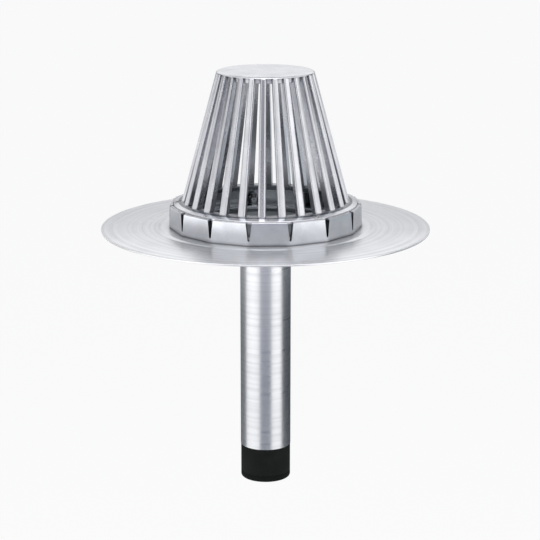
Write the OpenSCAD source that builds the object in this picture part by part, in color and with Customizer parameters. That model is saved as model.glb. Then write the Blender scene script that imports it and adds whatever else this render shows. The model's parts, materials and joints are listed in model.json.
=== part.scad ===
// Retrofit flat roof drain.
// A one-piece spun aluminium body (flange, shallow sump and stem) carries a cast clamping
// ring on weld studs. A cast strainer dome is screwed down inside the ring, and a rubber
// seal at the end of the stem is squeezed by three screws until it grips the old leader.
// Every length is in millimetres. Z is the drain's axis and z = 0 is the roof deck, the
// plane of the flange's underside. Angles turn about Z, from -Y towards +X.

/* [Flange and sump] */
// Diameter of the roofing flange
flange_d = 444.5; // [380:0.5:560]
// Thickness of the spun sheet: flange, sump and stem
gauge = 2.3; // [1.6:0.1:3]
// Rounding of the flange's cut edge
flange_edge_r = 0.7; // [0.3:0.1:0.75]
// Width of the raised seat outside the clamping ring
seat_margin = 11.4; // [4:0.1:25]
// Height of the raised seat above the flange
seat_rise = 1.6; // [0.8:0.1:3]
// Width of the slope around the raised seat
seat_slope_w = 4; // [3:0.5:8]
// Width of the seat between the clamping foot and the break into the sump
seat_lip_w = 5; // [3:0.5:20]
// Depth of the sump's floor edge below the deck
sump_depth = 22; // [12:1:32]
// Diameter of the sump's floor
sump_floor_d = 122; // [100:1:140]
// Depth below the deck at which the sump runs into the stem
throat_depth = 33; // [30:1:60]
// Inside radius of the bends in the sheet
bend_r = 7; // [3:0.5:9]

/* [Stem] */
// Outer diameter of the stem
stem_d = 69; // [60:0.5:90]
// Length of the stem below the deck
stem_l = 306.4; // [150:0.1:420]

/* [Stem seal] */
// Length of the seal below the stem, rubber and compression ring together
seal_l = 47.8; // [36:0.1:80]
// Height of the compression ring under the rubber
seal_ring_h = 9; // [7:0.5:14]
// Amount by which the seal stays inside the stem's outline, all round
seal_inset = 0.4; // [0.2:0.1:1]
// Rounding of the compression ring's bottom edge
seal_edge_r = 3; // [1:0.5:4]
// Thickness of the seal's wall around the waterway
seal_wall_t = 11.6; // [11:0.1:15]
// Height of the seat ring welded inside the stem's end
seal_seat_h = 8; // [5:0.5:14]
// Bevel around the top of the seat ring's bore
seal_seat_bevel = 1.5; // [0.5:0.1:3]
// Gap between the seat ring and the stem, filled by the weld
weld_gap = 0.05; // [0.02:0.01:0.1]
// Number of screws that squeeze the seal
seal_screw_count = 3; // [3:1:6]
// Thread diameter of the seal screws
seal_screw_d = 4.8; // [4:0.1:5]
// Head diameter of the seal screws
seal_head_d = 7.9; // [7:0.1:8.2]
// Head height of the seal screws
seal_head_h = 4.8; // [3:0.1:6]
// Width across the flats of the seal screws' sockets
seal_socket_w = 4; // [3:0.5:5]
// Distance of the seal screws' tips from the seal's lower face
seal_tip_inset = 1; // [0.5:0.5:4]

/* [Clamping ring] */
// Number of flat panels around the ring, with one slot between each two
panel_count = 15; // [12:1:18]
// Distance from the circle of studs to the ring's wall
stud_wall_gap = 11.5; // [10.7:0.1:13]
// Thickness of the ring's wall at its corners
ring_wall_t = 9.1; // [8.6:0.1:14]
// Height of the ring
ring_h = 30.7; // [27:0.1:40]
// Width of the ledge that carries the dome's rim, cut into the wall's top
ledge_w = 3.1; // [2:0.1:3.5]
// Bevel along the top edge of the panels
panel_bevel = 0.8; // [0.4:0.1:1.2]
// Angle of the first slot
slot_phase = -9.5; // [-12:0.1:-7]
// Width of a slot at its open top
slot_top_w = 8.2; // [4:0.1:9]
// Width of a slot at its lower end
slot_end_w = 2.6; // [2:0.1:3.4]
// Height of the wall left under a slot
slot_sill = 6.2; // [5.8:0.1:10]
// Width of the clamping foot inside the circle of studs
foot_in_w = 10; // [9:0.5:15]
// Thickness of the clamping foot
foot_t = 5.5; // [4:0.1:5.7]
// Bevel around the foot's inner edge
foot_bevel = 1.5; // [0.5:0.1:2]
// Diameter of the pad around each stud hole
stud_pad_d = 19; // [17.5:0.5:20]
// Height of the pad around each stud hole above the foot
stud_pad_h = 2.5; // [1:0.5:4]
// Diameter of the post under each dome screw
dome_post_d = 13; // [11:0.5:14]
// Gap between a post and the dome's rim, which bears on the ring's ledge alone
post_gap = 0.3; // [0.2:0.1:1]

/* [Strainer dome] */
// Number of ribs
rib_count = 26; // [20:1:30]
// Angle of the first rib
rib_phase = -2.4; // [-6:0.1:6]
// Width of a rib at its round nose
rib_face_w = 10.8; // [10:0.1:12]
// Width of a rib's inner face
rib_root_w = 7; // [5:0.1:8]
// Depth of a rib from outer to inner face
rib_depth = 12; // [9:0.5:14]
// Rounding of a rib's nose
rib_edge_r = 4; // [1:0.1:4]
// Amount by which the ribs stand back from the cap's and rim's outer surface
rib_inset = 0.3; // [0.2:0.1:0.6]
// Width of the rim left beside a dome screw's head
rim_land_w = 0.55; // [0.4:0.05:2]
// Diameter of the dome at its top
dome_top_d = 131; // [120:0.5:160]
// Height of the cap's top above the deck
dome_top_z = 214; // [150:0.5:260]
// Rounding of the dome's top edge
dome_shoulder_r = 5.5; // [3:0.5:8]
// Thickness of the cap
cap_t = 6; // [5:0.5:9]
// Thickness of the cap's edge over the closed ends of the gaps
cap_lip_t = 2; // [1.5:0.1:3]
// Fillet between the cap's underside and the ribs
cap_fillet_r = 2; // [1:0.5:3]
// Distance from the dome's top edge to the closed ends of the gaps
gap_end_inset = 4.6; // [3:0.1:8]
// Depth of the hoop under the cap that ties the ribs' heads
hoop_h = 3; // [1:0.5:6]
// Thickness of the rim at its outer edge
rim_edge_t = 3.9; // [3.4:0.1:4.5]
// Height of the rim's outer edge above the ring's top
rim_proud = 0.9; // [0:0.1:2]
// Rise of the rim from its outer edge to the ribs' feet
rim_rise = 3.1; // [2:0.1:5]
// Rounding of the rim's outer top edge
rim_edge_r = 1.4; // [0.6:0.1:1.8]
// Width of the rim inside the ribs' feet
rim_inner_w = 2.5; // [1:0.5:5]
// Fall of the rim from the ribs' feet to its inner edge
rim_inner_fall = 1; // [0.5:0.5:3]
// Side clearance of the rim in the ring's rebate
rim_play = 0.4; // [0.2:0.1:0.6]

/* [Fasteners] */
// Number of clamping studs
stud_count = 6; // [3:3:9]
// Angle of the first clamping stud
stud_phase = 9; // [5:0.5:12]
// Diameter of the circle of studs
stud_circle_d = 220; // [210:0.5:240]
// Thread diameter of the studs
stud_d = 7.9; // [6:0.1:8]
// Height of the studs above the seat
stud_h = 20.5; // [20:0.5:24]
// Bevel at the tips of studs and screws
tip_bevel = 0.8; // [0.4:0.1:1]
// Clearance of a bolt or stud in its hole, on the radius
hole_play = 0.5; // [0.3:0.1:0.8]
// Clearance between a thread and its nut or tapped hole, on the radius
thread_play = 0.05; // [0.03:0.01:0.08]
// Outer diameter of the washers
washer_d = 16.5; // [15:0.5:17]
// Thickness of the washers
washer_t = 1.6; // [1:0.1:2]
// Width across the flats of the nuts
nut_w = 12.7; // [12:0.1:13]
// Height of the nuts
nut_h = 6.8; // [5:0.1:7]
// Angle of the first dome screw
dome_screw_phase = 33; // [30:0.5:34]
// Number of dome screws
dome_screw_count = 3; // [3:3:6]
// Thread diameter of the dome screws
dome_screw_d = 5; // [4:0.1:5.5]
// Head diameter of the dome screws
dome_head_d = 8.6; // [7.5:0.1:8.8]
// Head height of the dome screws
dome_head_h = 3.4; // [2.5:0.1:4]
// Width across the flats of the dome screws' sockets
dome_socket_w = 4; // [3:0.5:5]
// Depth of the dome screws' pockets below the rim's outer edge
dome_pocket_depth = 1.3; // [0.5:0.1:2]
// Length of the dome screws below the head
dome_screw_l = 16; // [12:1:20]
// Clearance around the dome screws' heads, on the radius
head_play = 0.7; // [0.5:0.1:1]
// Bevel on the heads of the screws
head_bevel = 0.5; // [0.3:0.1:0.8]

/* [Hidden] */
$fn = 96;
overcut = 1;
rib_overrun = 5;

stud_r = stud_d / 2;
stud_circle_r = stud_circle_d / 2;
foot_bore_r = stud_circle_r - foot_in_w;
ring_bore_r = stud_circle_r + stud_wall_gap;
panel_out_r = ring_bore_r + ring_wall_t;
panel_flat_r = panel_out_r * cos(180 / panel_count);
seat_r = panel_out_r + seat_margin;
sump_r = foot_bore_r - seat_lip_w;

stem_r = stem_d / 2;
stem_bore_r = stem_r - gauge;
flange_top_z = gauge;
seat_z = gauge + seat_rise;

seal_r = stem_r - seal_inset;
seal_bore_r = seal_r - seal_wall_t;
seal_top_z = -stem_l;
seal_end_z = seal_top_z - seal_l;
seal_ring_top_z = seal_end_z + seal_ring_h;
seal_seat_z = seal_top_z + seal_seat_h;
seal_seat_r = stem_bore_r - weld_gap;
seal_screw_circle_r = (seal_bore_r + seal_seat_r) / 2;
seal_screw_r = seal_screw_d / 2;
seal_screw_l = seal_seat_z - seal_end_z - seal_tip_inset;

ring_top_z = seat_z + ring_h;
foot_top_z = seat_z + foot_t;
stud_pad_z = foot_top_z + stud_pad_h;
nut_z = stud_pad_z + washer_t;

dome_screw_r = dome_screw_d / 2;
dome_pocket_r = dome_head_d / 2 + head_play;
rim_r = ring_bore_r + ledge_w - rim_play;
dome_screw_circle_r = rim_r - rim_land_w - dome_pocket_r;
dome_foot_r = dome_screw_circle_r - dome_pocket_r - rim_land_w;
dome_top_r = dome_top_d / 2;
rim_edge_z = ring_top_z + rim_proud;
ledge_z = rim_edge_z - rim_edge_t;
dome_pocket_z = rim_edge_z - dome_pocket_depth;
rim_top_z = rim_edge_z + rim_rise;
rim_bore_r = dome_foot_r - rib_depth - rim_inner_w;
dome_lean = atan2(dome_foot_r - dome_top_r, dome_top_z - rim_top_z);
dome_slant = norm([dome_foot_r - dome_top_r, dome_top_z - rim_top_z]);
cap_under_z = dome_top_z - cap_t;
cap_r = dome_top_r - gap_end_inset;

// ---- Outlines -------------------------------------------------------------------------

function unit(v) = v / norm(v);
function left_of(v) = [-v[1], v[0]];
function turn_of(u, v) = u[0] * v[1] - u[1] * v[0];

// Arc of radius r that rounds the corner b between a and c, in n steps.
function rounded_corner(a, b, c, r, n = 5) =
    let (
        u = unit(a - b),
        v = unit(c - b),
        half = acos(u * v) / 2,
        centre = b + unit(u + v) * r / sin(half),
        start = b + u * r / tan(half) - centre,
        sweep = (turn_of(u, v) > 0 ? -1 : 1) * (180 - 2 * half),
        first = atan2(start[1], start[0])
    )
    [for (i = [0:n]) centre + r * [cos(first + sweep * i / n), sin(first + sweep * i / n)]];

// Path with every inner corner rounded: radii[i] belongs to path[i].
function rounded_path(path, radii) =
    let (last = len(path) - 1)
    concat(
        [path[0]],
        [for (i = [1:last - 1]) each rounded_corner(path[i - 1], path[i], path[i + 1], radii[i])],
        [path[last]]
    );

// Corner of a path moved to the path's left by t, square to both of its lines.
function shifted_corner(a, b, c, t) =
    let (m = left_of(unit(b - a)), n = left_of(unit(c - b)))
    b + t * (m + n) / (1 + m * n);

// The whole path moved to its left by t.
function shifted_path(path, t) =
    let (last = len(path) - 1)
    concat(
        [path[0] + t * left_of(unit(path[1] - path[0]))],
        [for (i = [1:last - 1]) shifted_corner(path[i - 1], path[i], path[i + 1], t)],
        [path[last] + t * left_of(unit(path[last] - path[last - 1]))]
    );

// Radii of a bent sheet on one face: inside_r where the bend closes on that face.
function bend_radii(path, inside_r, t, side) =
    [for (i = [0:len(path) - 1])
        let (bend = i > 0 && i < len(path) - 1 ? turn_of(path[i] - path[i - 1], path[i + 1] - path[i]) : 0)
        inside_r + (bend * side > 0 ? t : 0)];

// Closed outline with every corner rounded by its own radius, 0 leaving it sharp.
function rounded_outline(points, radii) =
    let (n = len(points))
    [for (i = [0:n - 1])
        each (radii[i] > 0
            ? rounded_corner(points[(i + n - 1) % n], points[i], points[(i + 1) % n], radii[i])
            : [points[i]])];

// ---- Shared pieces --------------------------------------------------------------------

// Children copied count times around the axis, first copy at angle phase.
module around(count, phase = 0) {
    for (i = [0:count - 1]) rotate([0, 0, phase + i * 360 / count]) children();
}

// Children moved to copy number i of a ring of count copies at radius r, facing -Y.
module at_copy(i, count, phase, r) {
    rotate([0, 0, phase + (i - 1) * 360 / count]) translate([0, -r, 0]) children();
}

// Round bar from z0 to z1 with a bevelled lower or upper tip.
module bar_with_tip(r, z0, z1, tip_up) {
    rotate_extrude() polygon(
        tip_up
            ? [[0, z0], [r, z0], [r, z1 - tip_bevel], [r - tip_bevel, z1], [0, z1]]
            : [[0, z0], [r - tip_bevel, z0], [r, z0 + tip_bevel], [r, z1], [0, z1]]
    );
}

// Screw hanging from its head: the head's underside is at z0.
module socket_screw(r, head_r, head_h, z0, length, socket_w) {
    difference() {
        union() {
            bar_with_tip(r, z0 - length, z0 + head_bevel, tip_up = false);
            rotate_extrude() polygon([
                [0, z0], [head_r, z0], [head_r, z0 + head_h - head_bevel],
                [head_r - head_bevel, z0 + head_h], [0, z0 + head_h]
            ]);
        }
        translate([0, 0, z0 + head_h / 2])
            cylinder(r = socket_w / sqrt(3), h = head_h, $fn = 6);
    }
}

// ---- Body -----------------------------------------------------------------------------

// Flange, raised seat, sump and stem, spun from one sheet of constant thickness.
module drain_body() {
    wet_side = [
        [flange_d / 2, flange_top_z],
        [seat_r + seat_slope_w, flange_top_z],
        [seat_r, seat_z],
        [sump_r, seat_z],
        [sump_floor_d / 2, -sump_depth],
        [stem_bore_r, -throat_depth],
        [stem_bore_r, seal_top_z]
    ];
    dry_side = shifted_path(wet_side, gauge);
    wet = rounded_path(wet_side, bend_radii(wet_side, bend_r, gauge, 1));
    dry = rounded_path(dry_side, bend_radii(dry_side, bend_r, gauge, -1));
    rim_top = wet_side[0];
    rim_under = dry_side[0];
    edge = concat(
        rounded_corner(rim_under - [gauge, 0], rim_under, rim_top, flange_edge_r, 3),
        rounded_corner(rim_under, rim_top, rim_top - [gauge, 0], flange_edge_r, 3)
    );
    color("gainsboro") rotate_extrude() polygon(concat(
        edge,
        [for (i = [1:len(wet) - 1]) wet[i]],
        [for (i = [len(dry) - 1:-1:1]) dry[i]]
    ));
}

// ---- Clamping ring --------------------------------------------------------------------

// Plan outline of the ring's flat panels, with a corner at every slot.
module panel_plan(r) {
    polygon([for (i = [0:panel_count - 1])
        let (a = slot_phase + i * 360 / panel_count) r * [sin(a), -cos(a)]]);
}

// V-shaped slot with a round lower end, cut outwards through the wall.
module slot_cut() {
    end_r = slot_end_w / 2;
    sill_z = seat_z + slot_sill;
    top_z = ring_top_z + overcut;
    translate([0, -foot_bore_r, 0]) rotate([90, 0, 0])
        linear_extrude(height = panel_out_r - foot_bore_r + overcut)
            polygon(concat(
                [[-slot_top_w / 2, top_z]],
                [for (i = [0:5]) let (a = 180 + i * 36) [end_r * cos(a), sill_z + end_r + end_r * sin(a)]],
                [[slot_top_w / 2, top_z]]
            ));
}

// Square bar laid along a panel's top edge from slot to slot, whose corner takes the edge off.
module panel_edge_cut() {
    side = panel_bevel * sqrt(2);
    length = 2 * panel_out_r * sin(180 / panel_count) - slot_end_w;
    translate([0, -panel_flat_r, ring_top_z]) rotate([45, 0, 0])
        cube([length, side, side], center = true);
}

module ring_blank() {
    difference() {
        translate([0, 0, seat_z]) linear_extrude(height = ring_h) panel_plan(panel_out_r);
        around(panel_count, slot_phase + 180 / panel_count) panel_edge_cut();
        translate([0, 0, foot_top_z]) cylinder(r = ring_bore_r, h = ring_h);
        translate([0, 0, ledge_z]) cylinder(r = ring_bore_r + ledge_w, h = ring_h);
        rotate_extrude() polygon([
            [0, seat_z - overcut], [foot_bore_r, seat_z - overcut], [foot_bore_r, foot_top_z - foot_bevel],
            [foot_bore_r + foot_bevel + overcut, foot_top_z + overcut], [0, foot_top_z + overcut]
        ]);
    }
}

module clamping_ring() {
    color("silver") difference() {
        union() {
            difference() {
                ring_blank();
                around(panel_count, slot_phase) slot_cut();
            }
            around(stud_count, stud_phase)
                translate([0, -stud_circle_r, foot_top_z - overcut])
                    cylinder(d = stud_pad_d, h = stud_pad_h + overcut);
            around(dome_screw_count, dome_screw_phase)
                translate([0, -dome_screw_circle_r, foot_top_z - overcut])
                    cylinder(d = dome_post_d, h = ledge_z - post_gap - foot_top_z + overcut);
        }
        around(stud_count, stud_phase)
            translate([0, -stud_circle_r, seat_z - overcut])
                cylinder(r = stud_r + hole_play, h = ring_h);
        around(dome_screw_count, dome_screw_phase)
            translate([0, -dome_screw_circle_r, dome_pocket_z - dome_screw_l - overcut])
                cylinder(r = dome_screw_r + thread_play, h = ring_h);
    }
}

// ---- Strainer dome --------------------------------------------------------------------

// Section of the whole dome turned about the axis, before the gaps are cut.
module dome_section() {
    wall_in_r = dome_foot_r - rib_depth;
    head_in_r = dome_top_r - rib_depth + cap_t * tan(dome_lean);
    polygon(rounded_outline(
        [
            [rim_bore_r, ledge_z], [rim_r, ledge_z], [rim_r, rim_edge_z], [dome_foot_r, rim_top_z],
            [dome_top_r, dome_top_z], [0, dome_top_z], [0, cap_under_z], [head_in_r, cap_under_z],
            [wall_in_r, rim_top_z], [rim_bore_r, rim_top_z - rim_inner_fall]
        ],
        [0, 0, rim_edge_r, 0, dome_shoulder_r, 0, 0, cap_fillet_r, 0, 0]
    ));
}

// One straight rib: round nose outwards, narrowing inwards, longer than the dome.
module rib_bar() {
    slope = (rib_root_w - rib_face_w) / (2 * rib_depth);
    deep = rib_depth + rib_overrun;
    face = rib_face_w / 2;
    root = face + slope * deep;
    translate([0, -dome_foot_r, rim_top_z]) rotate([-dome_lean, 0, 0])
        translate([0, rib_inset, -rim_edge_t])
            linear_extrude(height = dome_slant + rim_edge_t + cap_t)
                polygon(rounded_outline(
                    [[-face, 0], [face, 0], [root, deep], [-root, deep]],
                    [rib_edge_r, rib_edge_r, 0, 0]
                ));
}

module strainer_dome() {
    color("lightgray") difference() {
        intersection() {
            rotate_extrude() dome_section();
            union() {
                around(rib_count, rib_phase) rib_bar();
                translate([0, 0, cap_under_z - hoop_h]) cylinder(r = cap_r, h = cap_t + hoop_h + overcut);
                translate([0, 0, dome_top_z - cap_lip_t]) cylinder(r = dome_foot_r, h = cap_lip_t + overcut);
                translate([0, 0, ledge_z - overcut])
                    cylinder(r = rim_r + overcut, h = rim_top_z - ledge_z + overcut + rib_inset);
            }
        }
        around(dome_screw_count, dome_screw_phase) translate([0, -dome_screw_circle_r, 0]) {
            translate([0, 0, ledge_z - overcut])
                cylinder(r = dome_screw_r + hole_play, h = rim_top_z - ledge_z);
            translate([0, 0, dome_pocket_z])
                cylinder(r = dome_pocket_r, h = rim_top_z);
        }
    }
}

// ---- Stem seal ------------------------------------------------------------------------

// Seat ring welded inside the stem's end, bored for the seal screws.
module seal_seat() {
    color("darkgray") difference() {
        rotate_extrude() polygon([
            [seal_bore_r, seal_top_z], [seal_seat_r, seal_top_z], [seal_seat_r, seal_seat_z],
            [seal_bore_r + seal_seat_bevel / 2, seal_seat_z],
            [seal_bore_r, seal_seat_z - seal_seat_bevel]
        ]);
        seal_screw_holes(seal_screw_r + hole_play);
    }
}

module seal_screw_holes(r) {
    around(seal_screw_count)
        translate([0, -seal_screw_circle_r, seal_end_z - overcut])
            cylinder(r = r, h = seal_l + seal_seat_h + 2 * overcut);
}

// Rubber sleeve between the stem's end and the compression ring.
module seal_sleeve() {
    color([0.1, 0.1, 0.1]) difference() {
        rotate_extrude() polygon([
            [seal_bore_r, seal_ring_top_z], [seal_r, seal_ring_top_z],
            [seal_r, seal_top_z], [seal_bore_r, seal_top_z]
        ]);
        seal_screw_holes(seal_screw_r + hole_play);
    }
}

// Black compression ring that the seal screws draw up against the sleeve.
module compression_ring() {
    color([0.14, 0.14, 0.14]) difference() {
        rotate_extrude() polygon(rounded_outline(
            [
                [seal_bore_r, seal_end_z], [seal_r, seal_end_z],
                [seal_r, seal_ring_top_z], [seal_bore_r, seal_ring_top_z]
            ],
            [0, seal_edge_r, 0, 0]
        ));
        seal_screw_holes(seal_screw_r + thread_play);
    }
}

module seal_screw(i) {
    color("lightsteelblue") at_copy(i, seal_screw_count, 0, seal_screw_circle_r)
        socket_screw(
            seal_screw_r, seal_head_d / 2, seal_head_h, seal_seat_z, seal_screw_l, seal_socket_w
        );
}

// ---- Fasteners ------------------------------------------------------------------------

module clamp_stud(i) {
    color("lightsteelblue") at_copy(i, stud_count, stud_phase, stud_circle_r)
        bar_with_tip(stud_r, seat_z, seat_z + stud_h, tip_up = true);
}

module clamp_washer(i) {
    color("lightsteelblue") at_copy(i, stud_count, stud_phase, stud_circle_r)
        translate([0, 0, stud_pad_z]) difference() {
            cylinder(d = washer_d, h = washer_t);
            translate([0, 0, -overcut]) cylinder(r = stud_r + hole_play, h = washer_t + 2 * overcut);
        }
}

// Hexagon nut with its corners turned off at the top and bottom.
module clamp_nut(i) {
    corner_r = nut_w / sqrt(3);
    turned = corner_r - nut_w / 2;
    color("lightsteelblue") at_copy(i, stud_count, stud_phase, stud_circle_r)
        translate([0, 0, nut_z]) difference() {
            intersection() {
                cylinder(r = corner_r, h = nut_h, $fn = 6);
                rotate_extrude() polygon([
                    [0, 0], [nut_w / 2, 0], [corner_r + turned, turned],
                    [corner_r + turned, nut_h - turned], [nut_w / 2, nut_h], [0, nut_h]
                ]);
            }
            translate([0, 0, -overcut]) cylinder(r = stud_r + thread_play, h = nut_h + 2 * overcut);
        }
}

module dome_screw(i) {
    color("lightsteelblue") at_copy(i, dome_screw_count, dome_screw_phase, dome_screw_circle_r)
        socket_screw(
            dome_screw_r, dome_head_d / 2, dome_head_h, dome_pocket_z, dome_screw_l, dome_socket_w
        );
}

drain_body();
clamping_ring();
strainer_dome();
seal_seat();
seal_sleeve();
compression_ring();
for (i = [1:seal_screw_count]) seal_screw(i);
for (i = [1:stud_count]) clamp_stud(i);
for (i = [1:stud_count]) clamp_washer(i);
for (i = [1:stud_count]) clamp_nut(i);
for (i = [1:dome_screw_count]) dome_screw(i);
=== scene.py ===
"""Looks of a retrofit flat roof drain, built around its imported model.

Every piece stands in the drain's own frame: Z is the drain's axis, z = 0 is the roof deck, and
angles turn about Z from -Y towards +X. Sizes are written in millimetres, as on a drawing, and
turn into metres where a mesh is written.
"""

import json
import logging
import math
from collections.abc import Callable, Sequence
from dataclasses import dataclass, field
from enum import Enum

import bmesh
import bpy
from mathutils import Euler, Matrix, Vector


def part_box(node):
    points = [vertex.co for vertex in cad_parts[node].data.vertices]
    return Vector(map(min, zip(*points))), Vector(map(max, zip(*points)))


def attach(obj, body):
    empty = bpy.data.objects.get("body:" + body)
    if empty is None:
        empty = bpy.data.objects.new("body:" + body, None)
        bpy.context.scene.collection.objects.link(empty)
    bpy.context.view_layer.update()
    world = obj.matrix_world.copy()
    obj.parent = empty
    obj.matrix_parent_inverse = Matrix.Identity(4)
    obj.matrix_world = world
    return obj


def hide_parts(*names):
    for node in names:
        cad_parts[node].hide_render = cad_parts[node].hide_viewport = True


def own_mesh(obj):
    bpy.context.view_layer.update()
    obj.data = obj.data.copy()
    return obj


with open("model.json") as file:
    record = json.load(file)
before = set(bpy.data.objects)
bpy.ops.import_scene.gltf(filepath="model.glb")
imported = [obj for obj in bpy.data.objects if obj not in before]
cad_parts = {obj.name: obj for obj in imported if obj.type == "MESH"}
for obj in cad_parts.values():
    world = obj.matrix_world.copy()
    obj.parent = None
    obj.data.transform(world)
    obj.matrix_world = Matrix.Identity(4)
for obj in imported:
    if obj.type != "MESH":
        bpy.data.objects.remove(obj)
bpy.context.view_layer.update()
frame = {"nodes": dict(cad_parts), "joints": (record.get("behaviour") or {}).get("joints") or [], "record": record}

log = logging.getLogger("flat_roof_drain")
MM = 0.001
SUMP_FLOOR_MM = -27.0
OVERCUT_MM = 1.0
WELD_MM = 0.01
BAR_SEGMENTS = 48
THREAD_DEPTH_SHARE = 0.6

Point = tuple[float, float]
Row = Callable[[float], Point]
Tree = bpy.types.NodeTree
Socket = bpy.types.NodeSocket
Value = float | int | bool | str | tuple | Socket | bpy.types.ID


# ---- Nodes ----------------------------------------------------------------------------


def add_node(
    tree: Tree,
    kind: str,
    settings: dict[str, Value] | None = None,
    inputs: dict[str | int, Value] | None = None,
) -> bpy.types.Node:
    """Adds a node to a tree with its settings, values and links.

    Args:
        tree: Shader or geometry tree that gets the node.
        kind: Blender's name for the type of node.
        settings: Properties of the node by name.
        inputs: Inputs by name or number; a socket is linked and anything else is set.

    Returns:
        The new node.
    """
    node = tree.nodes.new(kind)
    for name, value in (settings or {}).items():
        setattr(node, name, value)
    for key, value in (inputs or {}).items():
        if isinstance(value, Socket):
            tree.links.new(value, node.inputs[key])
        else:
            node.inputs[key].default_value = value
    return node


def linear(hex_colour: str) -> tuple[float, float, float, float]:
    """Turns an sRGB hex colour such as "#c8cacc" into linear red, green, blue and alpha."""
    parts = [int(hex_colour[i : i + 2], 16) / 255 for i in (1, 3, 5)]
    red, green, blue = (
        part / 12.92 if part <= 0.04045 else ((part + 0.055) / 1.055) ** 2.4 for part in parts
    )
    return red, green, blue, 1.0


def empty_material(name: str) -> bpy.types.Material:
    """Makes a material whose node tree is empty."""
    made = bpy.data.materials.new(name)
    made.use_nodes = True
    made.node_tree.nodes.clear()
    return made


def placed(name: str, data: bpy.types.ID) -> bpy.types.Object:
    """Makes an object at the origin and links it to the scene."""
    made = bpy.data.objects.new(name, data)
    bpy.context.scene.collection.objects.link(made)
    return made


def around(radius: float, angle: float) -> Point:
    """X and y at a radius and an angle in radians, from -Y towards +X."""
    return radius * math.sin(angle), -radius * math.cos(angle)


# ---- Finishes -------------------------------------------------------------------------


@dataclass(frozen=True)
class Finish:
    """A surface finish: what the material is and how its surface was made.

    Attributes:
        name: Name of the Blender material.
        colour: Main colour in sRGB hex.
        roughness: Middle roughness of the surface.
        metallic: 1 for bare metal, 0 for rubber and plastic.
        shade_colour: Colour of its worn or bloomed places in sRGB hex.
        shade_range: Values of the wear pattern between which that colour comes in.
        rough_range: Values of the wear pattern between which the roughness changes.
        rough_change: What the roughness gains at each end of that range.
        relief_mm: Depth of the relief pattern.
        relief_strength: Share of that depth that shows.
    """

    name: str
    colour: str
    roughness: float
    metallic: float = 1.0
    shade_colour: str = "#808080"
    shade_range: tuple[float, float] = (0.0, 1.0)
    rough_range: tuple[float, float] = (0.3, 0.7)
    rough_change: tuple[float, float] = (0.0, 0.0)
    relief_mm: float = 0.0
    relief_strength: float = 0.5

    def material(self) -> bpy.types.Material:
        """Builds the material once and returns it, from the file's own list after that."""
        found = bpy.data.materials.get(self.name)
        if found:
            return found
        made = empty_material(self.name)
        tree = made.node_tree
        place = add_node(tree, "ShaderNodeTexCoord").outputs["Object"]
        wear, relief = self.patterns(tree, place)
        rough_low, rough_high = self.rough_change
        rough = add_node(tree, "ShaderNodeMapRange", inputs={
            "Value": wear, "From Min": self.rough_range[0], "From Max": self.rough_range[1],
            "To Min": self.roughness + rough_low, "To Max": self.roughness + rough_high,
        })
        share = add_node(tree, "ShaderNodeMapRange", inputs={
            "Value": wear, "From Min": self.shade_range[0], "From Max": self.shade_range[1],
        })
        inputs = {
            "Base Color": linear(self.colour),
            "Metallic": self.metallic,
            "Roughness": rough.outputs[0],
            "Normal": add_node(tree, "ShaderNodeBump", inputs={
                "Strength": self.relief_strength, "Distance": self.relief_mm * MM,
                "Height": relief,
            }).outputs[0],
        }
        tints = [(share.outputs[0], self.shade_colour), *self.tints(tree, place)]
        for factor, tint in tints:
            inputs["Base Color"] = add_node(tree, "ShaderNodeMix", {"data_type": "RGBA"}, {
                "Factor": factor, 6: inputs["Base Color"], 7: linear(tint),
            }).outputs[2]
        inputs.update(self.sheen(tree, place))
        shader = add_node(tree, "ShaderNodeBsdfPrincipled", inputs=inputs)
        add_node(tree, "ShaderNodeOutputMaterial", inputs={"Surface": shader.outputs["BSDF"]})
        return made

    def patterns(self, tree: Tree, place: Socket) -> tuple[Socket, Socket]:
        """Adds the surface's two patterns.

        Args:
            tree: The material's node tree.
            place: Object coordinates, in metres.

        Returns:
            Sockets of the wear pattern and of the relief pattern.
        """
        raise NotImplementedError

    def tints(self, tree: Tree, place: Socket) -> list[tuple[Socket, str]]:
        """Shares and hex colours of what is laid over the wear, in order: here nothing."""
        return []

    def sheen(self, tree: Tree, place: Socket) -> dict[str, Value]:
        """The shader's inputs that only this kind of surface has: here none."""
        return {}


def axis_sockets(tree: Tree, place: Socket) -> tuple[Socket, Socket]:
    """Adds nodes that give the distance from the drain's axis and the height."""
    axes = add_node(tree, "ShaderNodeSeparateXYZ", inputs={0: place}).outputs
    flat = add_node(tree, "ShaderNodeCombineXYZ", inputs={0: axes[0], 1: axes[1]})
    radius = add_node(tree, "ShaderNodeVectorMath", {"operation": "LENGTH"}, {0: flat.outputs[0]})
    return radius.outputs["Value"], axes[2]


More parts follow.
